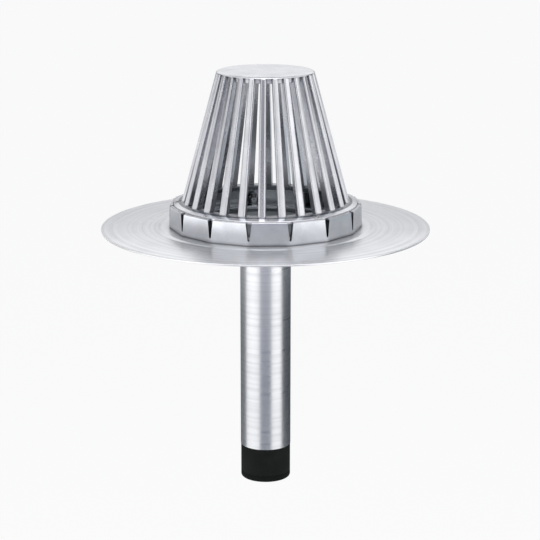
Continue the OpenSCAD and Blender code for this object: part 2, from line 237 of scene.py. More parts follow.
@dataclass(frozen=True)
class DrainMetal(Finish):
    """Bare metal with painted shade inside the drain and in its corners, where little light reaches.

    Attributes:
        inner_radius_mm: Radius of the zone of painted shade inside, 0 for none.
        inner_top_mm: Height of that zone's top.
        inner_shade_colour: Painted shade colour there in sRGB hex.
        recess_mm: Distance at which another face darkens a corner with painted shade.
        recess_shade_colour: Painted shade colour deep in corners and slots in sRGB hex.
        shut_from: Share of open view under which the painted corner shade begins.
        shut_full: Share of open view at which it is full.
        ao_samples: Rays that measure the open view.
        facing: How far up a face has to look to lie inside: none of it, and all of it.
    """

    inner_radius_mm: float = 0.0
    inner_top_mm: float = 0.0
    inner_shade_colour: str = "#84888c"
    recess_mm: float = 9.0
    recess_shade_colour: str = "#54575b"
    shut_from: float = 0.75
    shut_full: float = 0.2
    ao_samples: int = 6
    facing: tuple[float, float] = (-0.5, -0.2)

    def tints(self, tree: Tree, place: Socket) -> list[tuple[Socket, str]]:
        """Shares and colours of the painted shade inside the drain and in its corners and slots."""
        made = []
        # Painted shade inside the drain, where little light reaches.
        if self.inner_radius_mm:
            made.append((self.inner_shade_share(tree, place), self.inner_shade_colour))
        # Painted shade in corners and slots, darker the less of the open view they see.
        view = add_node(
            tree, "ShaderNodeAmbientOcclusion", {"samples": self.ao_samples},
            {"Distance": self.recess_mm * MM},
        )
        shut = add_node(tree, "ShaderNodeMapRange", inputs={
            "Value": view.outputs["AO"], "From Min": self.shut_from, "From Max": self.shut_full,
        })
        return [*made, (shut.outputs[0], self.recess_shade_colour)]

    def inner_shade_share(self, tree: Tree, place: Socket) -> Socket:
        """Adds nodes that give 1 near the axis, above the stem and not facing down, else 0."""
        radius, height = axis_sockets(tree, place)
        normal = add_node(tree, "ShaderNodeNewGeometry").outputs["Normal"]
        lift = add_node(tree, "ShaderNodeSeparateXYZ", inputs={0: normal}).outputs[2]
        edge, top, floor = (
            level * MM for level in (self.inner_radius_mm, self.inner_top_mm, SUMP_FLOOR_MM)
        )
        shares = [
            add_node(tree, "ShaderNodeMapRange", inputs={
                "Value": value, "From Min": outside, "From Max": inside,
            }).outputs[0]
            for value, outside, inside in (
                (radius, edge, edge - MM),
                (height, top, top - MM),
                (height, floor, floor + MM),
                (lift, *self.facing),
            )
        ]
        product = shares[0]
        for share in shares[1:]:
            product = add_node(
                tree, "ShaderNodeMath", {"operation": "MULTIPLY"}, {0: product, 1: share}
            ).outputs[0]
        return product


@dataclass(frozen=True)
class TurnedMetal(DrainMetal):
    """Metal spun or turned about the drain's axis, which leaves fine rings all round.

    The eye gets a satin sheen with faint rings, on flat faces around the axis and on
    upright ones across it. Real tool marks are 0.1 to 0.3 mm apart; they are drawn at
    line_mm, because finer ones don't show from a step away.

    Attributes:
        line_mm: Distance of the rings.
        band_mm: Width of the broad bands that the tool's feed leaves.
        cloud_mm: Width of the faint clouds left by handling.
        band_share: How much of the bands is mixed into the rings.
        cloud_share: How much of the clouds is mixed into both.
        anisotropy: How far the sheen is drawn out across the rings.
        anisotropic_turn: Turn of the sheen, as a share of a whole turn.
    """

    shade_colour: str = "#d2d4d7"
    shade_range: tuple[float, float] = (0.42, 0.72)
    rough_change: tuple[float, float] = (-0.07, 0.07)
    relief_mm: float = 0.012
    relief_strength: float = 0.45
    line_mm: float = 0.9
    band_mm: float = 6.0
    cloud_mm: float = 60.0
    band_share: float = 0.6
    cloud_share: float = 0.3
    anisotropy: float = 0.35
    anisotropic_turn: float = 0.25

    def patterns(self, tree: Tree, place: Socket) -> tuple[Socket, Socket]:
        """Adds rings that follow the turned section, broad bands and faint clouds."""
        radius, height = axis_sockets(tree, place)
        along = add_node(
            tree, "ShaderNodeMath", {"operation": "SUBTRACT"}, {0: radius, 1: height}
        ).outputs[0]
        lines = add_node(tree, "ShaderNodeTexNoise", {"noise_dimensions": "1D"}, {
            "W": along, "Scale": 1 / (self.line_mm * MM), "Detail": 3.0, "Roughness": 0.7,
        }).outputs[0]
        bands = add_node(tree, "ShaderNodeTexNoise", {"noise_dimensions": "1D"}, {
            "W": along, "Scale": 1 / (self.band_mm * MM), "Detail": 1.0,
        }).outputs[0]
        clouds = add_node(tree, "ShaderNodeTexNoise", inputs={
            "Vector": place, "Scale": 1 / (self.cloud_mm * MM), "Detail": 2.0,
        }).outputs[0]
        wear = lines
        for share, pattern in ((self.band_share, bands), (self.cloud_share, clouds)):
            wear = add_node(
                tree, "ShaderNodeMix", inputs={"Factor": share, 2: wear, 3: pattern}
            ).outputs[0]
        return wear, lines

    def sheen(self, tree: Tree, place: Socket) -> dict[str, Value]:
        """Draws the sheen out across the rings."""
        ringwise = add_node(
            tree, "ShaderNodeVectorMath", {"operation": "CROSS_PRODUCT"},
            {0: (0.0, 0.0, 1.0), 1: place},
        )
        return {
            "Anisotropic": self.anisotropy,
            "Anisotropic Rotation": self.anisotropic_turn,
            "Tangent": ringwise.outputs[0],
        }


@dataclass(frozen=True)
class CastMetal(DrainMetal):
    """Cast aluminium, tumbled bright: a soft sheen over a faint sand grain.

    Slots, corners and the inside carry painted shade, dark where little light reaches.

    Attributes:
        grain_mm: Width of the sand grain.
        cloud_mm: Width of the patches that tumbling leaves.
        cloud_share: How much of the patches is mixed into the grain.
    """

    shade_colour: str = "#b9bbc0"
    shade_range: tuple[float, float] = (0.4, 0.75)
    rough_change: tuple[float, float] = (-0.04, 0.04)
    relief_mm: float = 0.02
    # Painted shade inside the ring and in its corners and slots.
    inner_shade_colour: str = "#b4b8bc"
    recess_shade_colour: str = "#4a4d52"
    grain_mm: float = 1.1
    cloud_mm: float = 22.0
    cloud_share: float = 0.65

    def patterns(self, tree: Tree, place: Socket) -> tuple[Socket, Socket]:
        """Adds the sand grain and the uneven shine that tumbling leaves."""
        grain = add_node(tree, "ShaderNodeTexNoise", inputs={
            "Vector": place, "Scale": 1 / (self.grain_mm * MM), "Detail": 4.0, "Roughness": 0.6,
        }).outputs[0]
        clouds = add_node(tree, "ShaderNodeTexNoise", inputs={
            "Vector": place, "Scale": 1 / (self.cloud_mm * MM), "Detail": 3.0,
        }).outputs[0]
        wear = add_node(
            tree, "ShaderNodeMix", inputs={"Factor": self.cloud_share, 2: grain, 3: clouds}
        ).outputs[0]
        return wear, grain


@dataclass(frozen=True)
class FormedSteel(Finish):
    """Stainless steel, cold formed and tumbled: bright, with short fine scratches.

    Attributes:
        scratch_mm: Width of a scratch.
        stretch: Scale of the pattern along each axis, which draws the scratches out.
    """

    shade_colour: str = "#8d9093"
    rough_change: tuple[float, float] = (-0.08, 0.08)
    relief_mm: float = 0.01
    scratch_mm: float = 0.7
    stretch: tuple[float, float, float] = (1.0, 0.25, 1.0)

    def patterns(self, tree: Tree, place: Socket) -> tuple[Socket, Socket]:
        """Adds scratches stretched along one way, which also dull the shine."""
        stretched = add_node(
            tree, "ShaderNodeMapping", inputs={"Vector": place, "Scale": self.stretch}
        ).outputs[0]
        scratches = add_node(tree, "ShaderNodeTexNoise", inputs={
            "Vector": stretched, "Scale": 1 / (self.scratch_mm * MM), "Detail": 3.0,
            "Roughness": 0.7,
        }).outputs[0]
        return scratches, scratches


@dataclass(frozen=True)
class MouldedPolymer(Finish):
    """Rubber or nylon moulded in a blasted tool: dull, faintly grained, with a pale bloom.

    Attributes:
        grain_mm: Width of the tool's grain.
        bloom_mm: Width of the patches of bloom.
        ior: Index of refraction.
        specular: The shader's specular level.
    """

    metallic: float = 0.0
    shade_colour: str = "#1a1e1c"
    shade_range: tuple[float, float] = (0.4, 0.75)
    rough_range: tuple[float, float] = (0.0, 1.0)
    rough_change: tuple[float, float] = (-0.06, 0.08)
    relief_mm: float = 0.04
    grain_mm: float = 0.6
    bloom_mm: float = 18.0
    ior: float = 1.5
    specular: float = 0.2

    def patterns(self, tree: Tree, place: Socket) -> tuple[Socket, Socket]:
        """Adds patches of bloom, the wax that comes to the surface, and the tool's grain."""
        grain = add_node(tree, "ShaderNodeTexNoise", inputs={
            "Vector": place, "Scale": 1 / (self.grain_mm * MM), "Detail": 2.0,
        }).outputs[0]
        bloom = add_node(tree, "ShaderNodeTexNoise", inputs={
            "Vector": place, "Scale": 1 / (self.bloom_mm * MM), "Detail": 5.0,
        }).outputs[0]
        return bloom, grain

    def sheen(self, tree: Tree, place: Socket) -> dict[str, Value]:
        """Sets the weak gloss of a polymer."""
        return {"IOR": self.ior, "Specular IOR Level": self.specular}


class Finishes(Enum):
    """The drain's finishes."""

    # Aluminium sheet spun on a lathe: pale satin, with faint rings and a soft long glint.
    # Painted shade darkens its inside under the dome and the corner beside the ring.
    SPUN_BODY = TurnedMetal(
        "aluminium_spun", "#eeeff2", 0.33, inner_radius_mm=128.0, inner_top_mm=8.0
    )
    # Sand-cast aluminium, tumbled: mid grey and fairly bright, with painted shade inside the slots and the bore.
    CAST_RING = CastMetal(
        "aluminium_cast_ring", "#ccced3", 0.24, recess_mm=8.0, recess_shade_colour="#34373c",
        shut_full=0.35, inner_radius_mm=127.3, inner_top_mm=34.3,
    )
    # Finer cast aluminium, tumbled longer: paler and smoother than the ring.
    # Painted shade darkens the rim inside the ribs' feet, the inside and the corners.
    CAST_DOME = CastMetal(
        "aluminium_cast_dome", "#dcdde2", 0.28, relief_mm=0.012, rough_change=(-0.03, 0.03),
        shade_colour="#c6c7cc", recess_mm=7.0, inner_radius_mm=118.0, inner_top_mm=39.2,
        inner_shade_colour="#74787d",
    )
    # Aluminium turned from bar: plain grey, with closer rings than the spun sheet.
    # Painted shade darkens its corners.
    TURNED_SEAT = TurnedMetal("aluminium_turned", "#cfd1d4", 0.3, line_mm=0.6)
    # Stainless steel, cold headed: bright heads.
    STEEL_SCREWS = FormedSteel("steel_headed_screws", "#c2c4c6", 0.27)
    # Stainless steel with a rolled thread: a shade darker than the heads.
    STEEL_STUDS = FormedSteel("steel_rolled_studs", "#bcbec0", 0.3)
    # Stamped stainless sheet, tumbled: the dullest of the steels.
    STEEL_WASHERS = FormedSteel("steel_stamped_washers", "#b8babc", 0.34)
    # Stainless steel, cold formed: the brightest, with sharp glints on its flats.
    STEEL_NUTS = FormedSteel("steel_formed_nuts", "#c4c6c8", 0.26)
    # EPDM-like black rubber, moulded: dull black with pale patches of bloom.
    RUBBER = MouldedPolymer("rubber_moulded", "#0f1211", 0.75)
    # Black nylon, moulded: a touch smoother than the rubber, with a finer grain.
    NYLON = MouldedPolymer(
        "nylon_moulded", "#121514", 0.7, grain_mm=0.4, ior=1.53, specular=0.1
    )

    def material(self) -> bpy.types.Material:
        """The finish's material."""
        return self.value.material()


# ---- Outlines -------------------------------------------------------------------------


def corner_arc(
    before: Point, corner: Point, after: Point, radius: float, steps: int
) -> list[Point]:
    """Rounds one corner of an outline.

    Args:
        before: Point before the corner.
        corner: The corner.
        after: Point after the corner.
        radius: Radius of the rounding.
        steps: Number of chords in the arc.

    Returns:
        The arc's points, from the side of `before` to the side of `after`.
    """
    origin = Vector(corner)
    to_before = (Vector(before) - origin).normalized()
    to_after = (Vector(after) - origin).normalized()
    half = to_before.angle(to_after) / 2
    centre = origin + (to_before + to_after).normalized() * radius / math.sin(half)
    start = origin + to_before * radius / math.tan(half) - centre
    turn = to_before.x * to_after.y - to_before.y * to_after.x
    sweep = (math.pi - 2 * half) * (-1 if turn > 0 else 1)
    first = math.atan2(start.y, start.x)
    angles = (first + sweep * i / steps for i in range(steps + 1))
    return [(centre.x + radius * math.cos(a), centre.y + radius * math.sin(a)) for a in angles]


def rounded(
    points: Sequence[Point], radii: Sequence[float], steps: int = 6, closed: bool = True
) -> list[Point]:
    """Rounds the corners of an outline.

    Args:
        points: Corners of the outline.
        radii: Radius at each corner, 0 to leave it sharp.
        steps: Number of chords in each arc.
        closed: Whether the last point joins the first; an open outline keeps its two ends.

    Returns:
        The outline's points.
    """
    made: list[Point] = []
    last = len(points) - 1
    for i, (point, radius) in enumerate(zip(points, radii, strict=True)):
        if radius <= 0 or (not closed and i in (0, last)):
            made.append(point)
        else:
            made += corner_arc(points[i - 1], point, points[(i + 1) % (last + 1)], radius, steps)
    return made


def beside(path: Sequence[Point], distance: float) -> list[Point]:
    """Moves an open path sideways by a distance, to the left of its direction."""
    lines = [(Vector(b) - Vector(a)).normalized() for a, b in zip(path, path[1:])]
    lefts = [Vector((-line.y, line.x)) for line in lines]
    made = [Vector(path[0]) + lefts[0] * distance]
    for corner, left, next_left in zip(path[1:], lefts, lefts[1:]):
        shift = (left + next_left) / (1 + left.dot(next_left))
        made.append(Vector(corner) + shift * distance)
    made.append(Vector(path[-1]) + lefts[-1] * distance)
    return [(point.x, point.y) for point in made]


def bend_radii(path: Sequence[Point], inside: float, gauge: float, side: int) -> list[float]:
    """Radii of a bent sheet's corners on one of its faces.

    Args:
        path: Corners of that face.
        inside: Inside radius of every bend.
        gauge: Thickness of the sheet.
        side: 1 for the face that lies to the right of the sheet, -1 for the other.

    Returns:
        One radius for each corner: `inside` where the bend closes on this face.
    """
    radii = [0.0]
    for before, corner, after in zip(path, path[1:], path[2:]):
        into, out = Vector(corner) - Vector(before), Vector(after) - Vector(corner)
        turn = into.x * out.y - into.y * out.x
        radii.append(inside + (gauge if turn * side > 0 else 0.0))
    return [*radii, 0.0]


# ---- Meshes ---------------------------------------------------------------------------


def write_mesh(
    name: str, points: Sequence[Sequence[float]], faces: Sequence[Sequence[int]]
) -> bpy.types.Mesh:
    """Writes points given in millimetres and faces into a mesh.

    Args:
        name: Name of the mesh.
        points: Corner points in millimetres.
        faces: Numbers of each face's points.

    Returns:
        The mesh, in metres.
    """
    mesh = bpy.data.meshes.new(name)
    mesh.from_pydata([[c * MM for c in point] for point in points], [], faces)
    return mesh


def face_outwards(mesh: bpy.types.Mesh, merge_mm: float = 0.001) -> None:
    """Merges a mesh's doubled points, drops points without faces and turns faces outwards."""
    work = bmesh.new()
    work.from_mesh(mesh)
    bmesh.ops.remove_doubles(work, verts=work.verts, dist=merge_mm * MM)
    loose = [point for point in work.verts if not point.link_faces]
    bmesh.ops.delete(work, geom=loose, context="VERTS")
    bmesh.ops.recalc_face_normals(work, faces=work.faces)
    work.to_mesh(mesh)
    work.free()


def turned(name: str, rows: Sequence[Row | Point], segments: int) -> bpy.types.Mesh:
    """Makes a closed body from rows around the axis.

    Args:
        name: Name of the mesh.
        rows: Radius and height of each row, in millimetres, or a function that gives both
            for an angle in radians. A first or last row of radius 0 is a pole; without
            poles the last row joins the first.
        segments: Number of steps around the axis.

    Returns:
        The mesh.
    """
    points: list[tuple[float, float, float]] = []
    loops: list[list[int]] = []
    for row in rows:
        start = len(points)
        if not callable(row) and row[0] == 0:
            points.append((0.0, 0.0, row[1]))
            loops.append([start] * segments)
            continue
        for i in range(segments):
            angle = 2 * math.pi * i / segments
            radius, height = row(angle) if callable(row) else row
            points.append((*around(radius, angle), height))
        loops.append([start + i for i in range(segments)])
    pairs = list(zip(loops, loops[1:]))
    if len(set(loops[0])) > 1:
        pairs.append((loops[-1], loops[0]))
    faces = []
    for low, high in pairs:
        for i in range(segments):
            j = (i + 1) % segments
            face = dict.fromkeys((low[i], low[j], high[j], high[i]))
            faces.append(list(face))
    mesh = write_mesh(name, points, faces)
    face_outwards(mesh)
    return mesh


def thread_row(radius: float, depth: float, pitch: float, height: float) -> Row:
    """Row of a screw thread.

    Args:
        radius: Radius of the thread's crests.
        depth: Depth of the thread.
        pitch: Rise of the thread in one turn.
        height: Height of the row.

    Returns:
        Function that gives the row's radius and height at an angle.
    """

    def row(angle: float) -> Point:
        phase = (height / pitch + angle / (2 * math.pi)) % 1.0
        return radius - depth * abs(2 * phase - 1), height

    return row


def thread_rows(
    radius: float, pitch: float, low: float, high: float, per_turn: int = 6
) -> list[Row]:
    """Rows of a thread from `low` to `high`, which fades out over a turn at each end."""
    full_depth = THREAD_DEPTH_SHARE * pitch
    count = max(2, round((high - low) / pitch * per_turn))
    rows = []
    for i in range(count + 1):
        height = low + (high - low) * i / count
        fade = min(1.0, (height - low) / pitch, (high - height) / pitch)
        rows.append(thread_row(radius, full_depth * fade, pitch, height))
    return rows


def hexagon_row(across: float, height: float, corner_drop: float = 0.0) -> Row:
    """Row of a hexagon.

    Args:
        across: Width across the flats.
        height: Height at the middle of the flats.
        corner_drop: Fall in height for each millimetre that a point stands past the flats.

    Returns:
        Function that gives the row's radius and height at an angle.
    """

    def row(angle: float) -> Point:
        off_flat = (angle + math.pi / 6) % (math.pi / 3) - math.pi / 6
        radius = across / 2 / math.cos(off_flat)
        return radius, height - (radius - across / 2) * corner_drop

    return row


def bar(name: str, radius: float, low: float, high: float, edge: float = 0.0) -> bpy.types.Mesh:
    """Round bar on the axis, from `low` to `high`, with a rounded upper edge."""
    corners = [(0.0, low), (radius, low), (radius, high), (0.0, high)]
    return turned(name, rounded(corners, [0, 0, edge, 0], 3), BAR_SEGMENTS)


def bake(holder: bpy.types.Object, name: str) -> bpy.types.Mesh:
    """Turns an object with modifiers into a plain mesh and removes the object."""
    depsgraph = bpy.context.evaluated_depsgraph_get()
    mesh = bpy.data.meshes.new_from_object(holder.evaluated_get(depsgraph))
    bpy.data.objects.remove(holder)
    mesh.name = name
    return mesh


def modified(
    mesh: bpy.types.Mesh, steps: Sequence[tuple[str, dict[str, Value]]]
) -> bpy.types.Mesh:
    """Runs a mesh through modifiers.

    Args:
        mesh: Mesh to start from.
        steps: Type and settings of each modifier, in order.

    Returns:
        The new mesh.
    """
    holder = placed("modified_holder", mesh)
    for kind, settings in steps:
        modifier = holder.modifiers.new(kind.lower(), kind)
        for name, value in settings.items():
            setattr(modifier, name, value)
    return bake(holder, mesh.name)


def mark_corners(mesh: bpy.types.Mesh, angle_deg: float) -> None:
    """Gives a bevel weight to the edges that stand out and are sharper than an angle."""
    work = bmesh.new()
    work.from_mesh(mesh)
    weight = work.edges.layers.float.new("bevel_weight_edge")
    for edge in work.edges:
        if len(edge.link_faces) == 2:
            edge[weight] = float(edge.calc_face_angle_signed() > math.radians(angle_deg))
    work.to_mesh(mesh)
    work.free()


def bevelled(
    mesh: bpy.types.Mesh,
    width_mm: float,
    segments: int,
    angle_deg: float = 35,
    corners_only: bool = False,
) -> bpy.types.Mesh:
    """Rounds a mesh's sharp edges.

    Args:
        mesh: Mesh with closed, outward faces.
        width_mm: Width of the rounding.
        segments: Number of steps in the rounding.
        angle_deg: Edges sharper than this are rounded.
        corners_only: Whether the edges in hollows stay sharp.

    Returns:
        The new mesh.
    """
    settings = {
        "width": width_mm * MM,
        "segments": segments,
        "limit_method": "WEIGHT" if corners_only else "ANGLE",
        "angle_limit": math.radians(angle_deg),
        "use_clamp_overlap": False,
    }
    if corners_only:
        mark_corners(mesh, angle_deg)
    return modified(mesh, [("BEVEL", settings)])


class Cut(Enum):
    """What a tool does to a mesh."""

    ADD = "UNION"
    REMOVE = "DIFFERENCE"


def machined(
    mesh: bpy.types.Mesh, tools: Sequence[tuple[Cut, bpy.types.Mesh]]
) -> bpy.types.Mesh:
    """Adds bosses to a mesh and cuts holes in it.

    Args:
        mesh: Mesh with closed, outward faces.
        tools: What each tool does and its own closed mesh, in order.

    Returns:
        The new mesh.
    """
    steps, holders = [], []
    for cut, shape in tools:
        holder = placed("tool", shape)
        holders.append(holder)
        steps.append(("BOOLEAN", {"object": holder, "operation": cut.value, "solver": "EXACT"}))
    made = modified(mesh, steps)
    for holder in holders:
        bpy.data.objects.remove(holder)
    return made


def evenly_shaded(mesh: bpy.types.Mesh, sharp_deg: float = 50) -> bpy.types.Mesh:
    """Shades a mesh so that its flat faces stay flat and its roundings stay round."""
    mesh.shade_smooth()
    mesh.set_sharp_from_angle(angle=math.radians(sharp_deg))
    return modified(mesh, [("WEIGHTED_NORMAL", {"keep_sharp": True})])


# ---- Copies around the axis -----------------------------------------------------------


class CopyRing:
    """Geometry Nodes that set copies of one piece around the drain's axis."""

    INPUTS = (
        ("Piece", "NodeSocketObject"),
        ("Copies", "NodeSocketInt"),
        ("Circle Radius", "NodeSocketFloat"),
        ("First Angle", "NodeSocketFloat"),
        ("Weld Distance", "NodeSocketFloat"),
        ("Finish", "NodeSocketMaterial"),
    )

    def __init__(self) -> None:
        """Builds the tree."""
        self.tree = bpy.data.node_groups.new("copies_around_axis", "GeometryNodeTree")
        self.sockets: dict[str, str] = {}
        for name, kind in self.INPUTS:
            made = self.tree.interface.new_socket(name, in_out="INPUT", socket_type=kind)
            self.sockets[name] = made.identifier
        self.tree.interface.new_socket(
            "Geometry", in_out="OUTPUT", socket_type="NodeSocketGeometry"
        )
        self.fill()

    def fill(self) -> None:
        """Adds the tree's nodes."""
        tree = self.tree
        given = add_node(tree, "NodeGroupInput").outputs
        turn = add_node(
            tree, "ShaderNodeMath", {"operation": "DIVIDE"}, {0: math.tau, 1: given["Copies"]}
        )
        number = add_node(tree, "GeometryNodeInputIndex")
        angle = add_node(tree, "ShaderNodeMath", {"operation": "MULTIPLY_ADD"}, {
            0: number.outputs[0], 1: turn.outputs[0], 2: given["First Angle"],
        }).outputs[0]
        sine, cosine = (
            add_node(tree, "ShaderNodeMath", {"operation": operation}, {0: angle}).outputs[0]
            for operation in ("SINE", "COSINE")
        )
        back = add_node(tree, "ShaderNodeMath", {"operation": "MULTIPLY"}, {0: cosine, 1: -1.0})
        way = add_node(tree, "ShaderNodeCombineXYZ", inputs={0: sine, 1: back.outputs[0]})
        spot = add_node(tree, "ShaderNodeVectorMath", {"operation": "SCALE"}, {
            0: way.outputs[0], "Scale": given["Circle Radius"],
        })
        points = add_node(tree, "GeometryNodePoints", inputs={
            "Count": given["Copies"], "Position": spot.outputs[0],
        })
        facing = add_node(tree, "ShaderNodeCombineXYZ", inputs={2: angle})
        piece = add_node(tree, "GeometryNodeObjectInfo", inputs={"Object": given["Piece"]})
        made = add_node(tree, "GeometryNodeInstanceOnPoints", inputs={
            "Points": points.outputs[0],
            "Instance": piece.outputs["Geometry"],
            "Rotation": facing.outputs[0],
        }).outputs[0]
        for kind, inputs in (
            ("GeometryNodeRealizeInstances", {}),
            ("GeometryNodeMergeByDistance", {"Distance": given["Weld Distance"]}),
            ("GeometryNodeSetMaterial", {"Material": given["Finish"]}),
        ):
            made = add_node(tree, kind, inputs={"Geometry": made, **inputs}).outputs[0]
        add_node(tree, "NodeGroupOutput", inputs={0: made})

    def copies(
        self,
        source: bpy.types.Mesh,
        name: str,
        count: int,
        circle_mm: float,
        first_deg: float,
        finish: Finishes,
        weld_mm: float = 0.0,
    ) -> bpy.types.Mesh:
        """Sets copies of a mesh around the axis and returns them as one plain mesh.

        Args:
            source: Mesh of one copy; it faces -Y.
            name: Name of the new mesh.
            count: Number of copies.
            circle_mm: Radius at which a copy's own origin stands.
            first_deg: Angle of the first copy.
            finish: Finish of the copies.
            weld_mm: Points closer than this are joined, where copies meet.
        """
        piece = placed("one_copy", source)
        holder = placed("copies_holder", bpy.data.meshes.new(name))
        nodes = holder.modifiers.new("copies", "NODES")
        nodes.node_group = self.tree
        values = {
            "Piece": piece,
            "Copies": count,
            "Circle Radius": circle_mm * MM,
            "First Angle": math.radians(first_deg),
            "Weld Distance": weld_mm * MM,
            "Finish": finish.material(),
        }
        for label, value in values.items():
            nodes[self.sockets[label]] = value
        mesh = bake(holder, name)
        bpy.data.objects.remove(piece)
        return mesh


# ---- Pieces ---------------------------------------------------------------------------


def set_piece(
    name: str,
    mesh: bpy.types.Mesh,
    finish: Finishes,
    body: str,
    nodes: Sequence[str],
    smooth_deg: float | None = 30,
) -> bpy.types.Object:
    """Turns a mesh into a piece of the drain that stands for CAD nodes.

    Args:
        name: Name of the piece.
        mesh: Its mesh, in place.
        finish: Its finish.
        body: CAD body that it moves with.
        nodes: CAD nodes that it stands for.
        smooth_deg: Edges sharper than this stay sharp in shading; None keeps the mesh's own.

    Returns:
        The piece.
    """
    mesh.name = name
    mesh.materials.clear()
    mesh.materials.append(finish.material())
    if smooth_deg is not None:
        mesh.shade_smooth()
        mesh.set_sharp_from_angle(angle=math.radians(smooth_deg))
    piece = placed(name, mesh)
    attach(piece, body)
    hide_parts(*nodes)
    log.info("%s: %d faces on body %s", name, len(mesh.polygons), body)
    return piece


def numbered(stem: str) -> list[str]:
    """The CAD nodes whose names are a stem and a number, in order."""
    return sorted(name for name in frame["nodes"] if name.rstrip("0123456789") == f"{stem}_")


def top_mm(node: str) -> float:
    """Height of a CAD node's highest point, in millimetres."""
    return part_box(node)[1].z / MM


def low_mm(node: str) -> float:
    """Height of a CAD node's lowest point, in millimetres."""
    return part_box(node)[0].z / MM


def reach_mm(node: str) -> float:
    """Largest distance of a CAD node from the axis along X or Y, in millimetres."""
    low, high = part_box(node)
    return max(-low.x, -low.y, high.x, high.y) / MM


def stem_radius_mm() -> float:
    """Outer radius of the stem, which the record states as a mount, in millimetres."""
    mounts = {mount["name"]: mount for mount in frame["record"]["mounts"]}
    return mounts["stem"]["dims"]["r_mm"]


@dataclass
class SectorMesh:
    """Rows of points across one sector of a body of revolution, open at both sides.

    Attributes:
        half_turn: Half the sector's angle, in radians.
    """

    half_turn: float
    points: list[tuple[float, float, float]] = field(default_factory=list)
    faces: list[list[int]] = field(default_factory=list)

    def row(self, radius: float, height: float, places: Sequence[Point]) -> list[int]:
        """Adds a row with two columns more at each side, which reach the sector's sides.

        Args:
            radius: Radius of the columns beside the places; 0 makes the row one pole.
            height: Height of the row.
            places: X and y of the middle columns, from the left to the right.

        Returns:
            Numbers of the row's points.
        """
        start = len(self.points)
        if radius == 0:
            self.points.append((0.0, 0.0, height))
            return [start] * (len(places) + 4)
        edge = math.atan2(places[-1][0], -places[-1][1])
        sides = [
            around(radius, angle) for angle in ((edge + self.half_turn) / 2, self.half_turn)
        ]
        mirrored = [(-x, y) for x, y in reversed(sides)]
        self.points.extend((x, y, height) for x, y in (*mirrored, *places, *sides))
        return list(range(start, len(self.points)))

    def face(self, *numbers: int) -> None:
        """Adds a face through points given by their numbers."""
        self.faces.append(list(dict.fromkeys(numbers)))

    def strip(self, low: Sequence[int], high: Sequence[int], columns: Sequence[int]) -> None:
        """Joins two rows by faces in the given columns."""
        for i in columns:
            self.face(low[i], low[i + 1], high[i + 1], high[i])


@dataclass
class SpunBody:
    """Flange, raised seat, sump and stem, spun from one sheet."""

    gauge: float = 2.3
    edge_radius: float = 0.7
    seat_radius: float = 142.0
    slope_width: float = 4.0
    sump_radius: float = 95.0
    sump_depth: float = 22.0
    floor_radius: float = 61.0
    throat_depth: float = 33.0
    bend_radius: float = 7.0
    segments: int = 288

    def section(self) -> list[Point]:
        """Closed section of the sheet, with every bend rounded on both faces."""
        bore = stem_radius_mm() - self.gauge
        seat = low_mm("clamping_ring")
        wet_path = [
            (reach_mm("drain_body"), self.gauge),
            (self.seat_radius + self.slope_width, self.gauge),
            (self.seat_radius, seat),
            (self.sump_radius, seat),
            (self.floor_radius, -self.sump_depth),
            (bore, -self.throat_depth),
            (bore, low_mm("drain_body")),
        ]
        dry_path = beside(wet_path, self.gauge)
        wet = rounded(
            wet_path, bend_radii(wet_path, self.bend_radius, self.gauge, 1), closed=False
        )
        dry = rounded(
            dry_path, bend_radii(dry_path, self.bend_radius, self.gauge, -1), closed=False
        )
        inward = (wet[0][0] - self.gauge, wet[0][1])
        under = (dry[0][0] - self.gauge, dry[0][1])
        edge = corner_arc(under, dry[0], wet[0], self.edge_radius, 4)
        edge += corner_arc(dry[0], wet[0], inward, self.edge_radius, 4)
        return edge + wet[1:] + dry[:0:-1]

    def build(self) -> None:
        """Makes the body."""
        mesh = turned("drain_body_spun", self.section(), self.segments)
        set_piece("spun_body", mesh, Finishes.SPUN_BODY, "drain", ["drain_body"])


class Face(Enum):
    """Rows of a panel that follow its flat face instead of a radius."""

    PLAIN = "plain"
    BEVELLED = "bevelled"


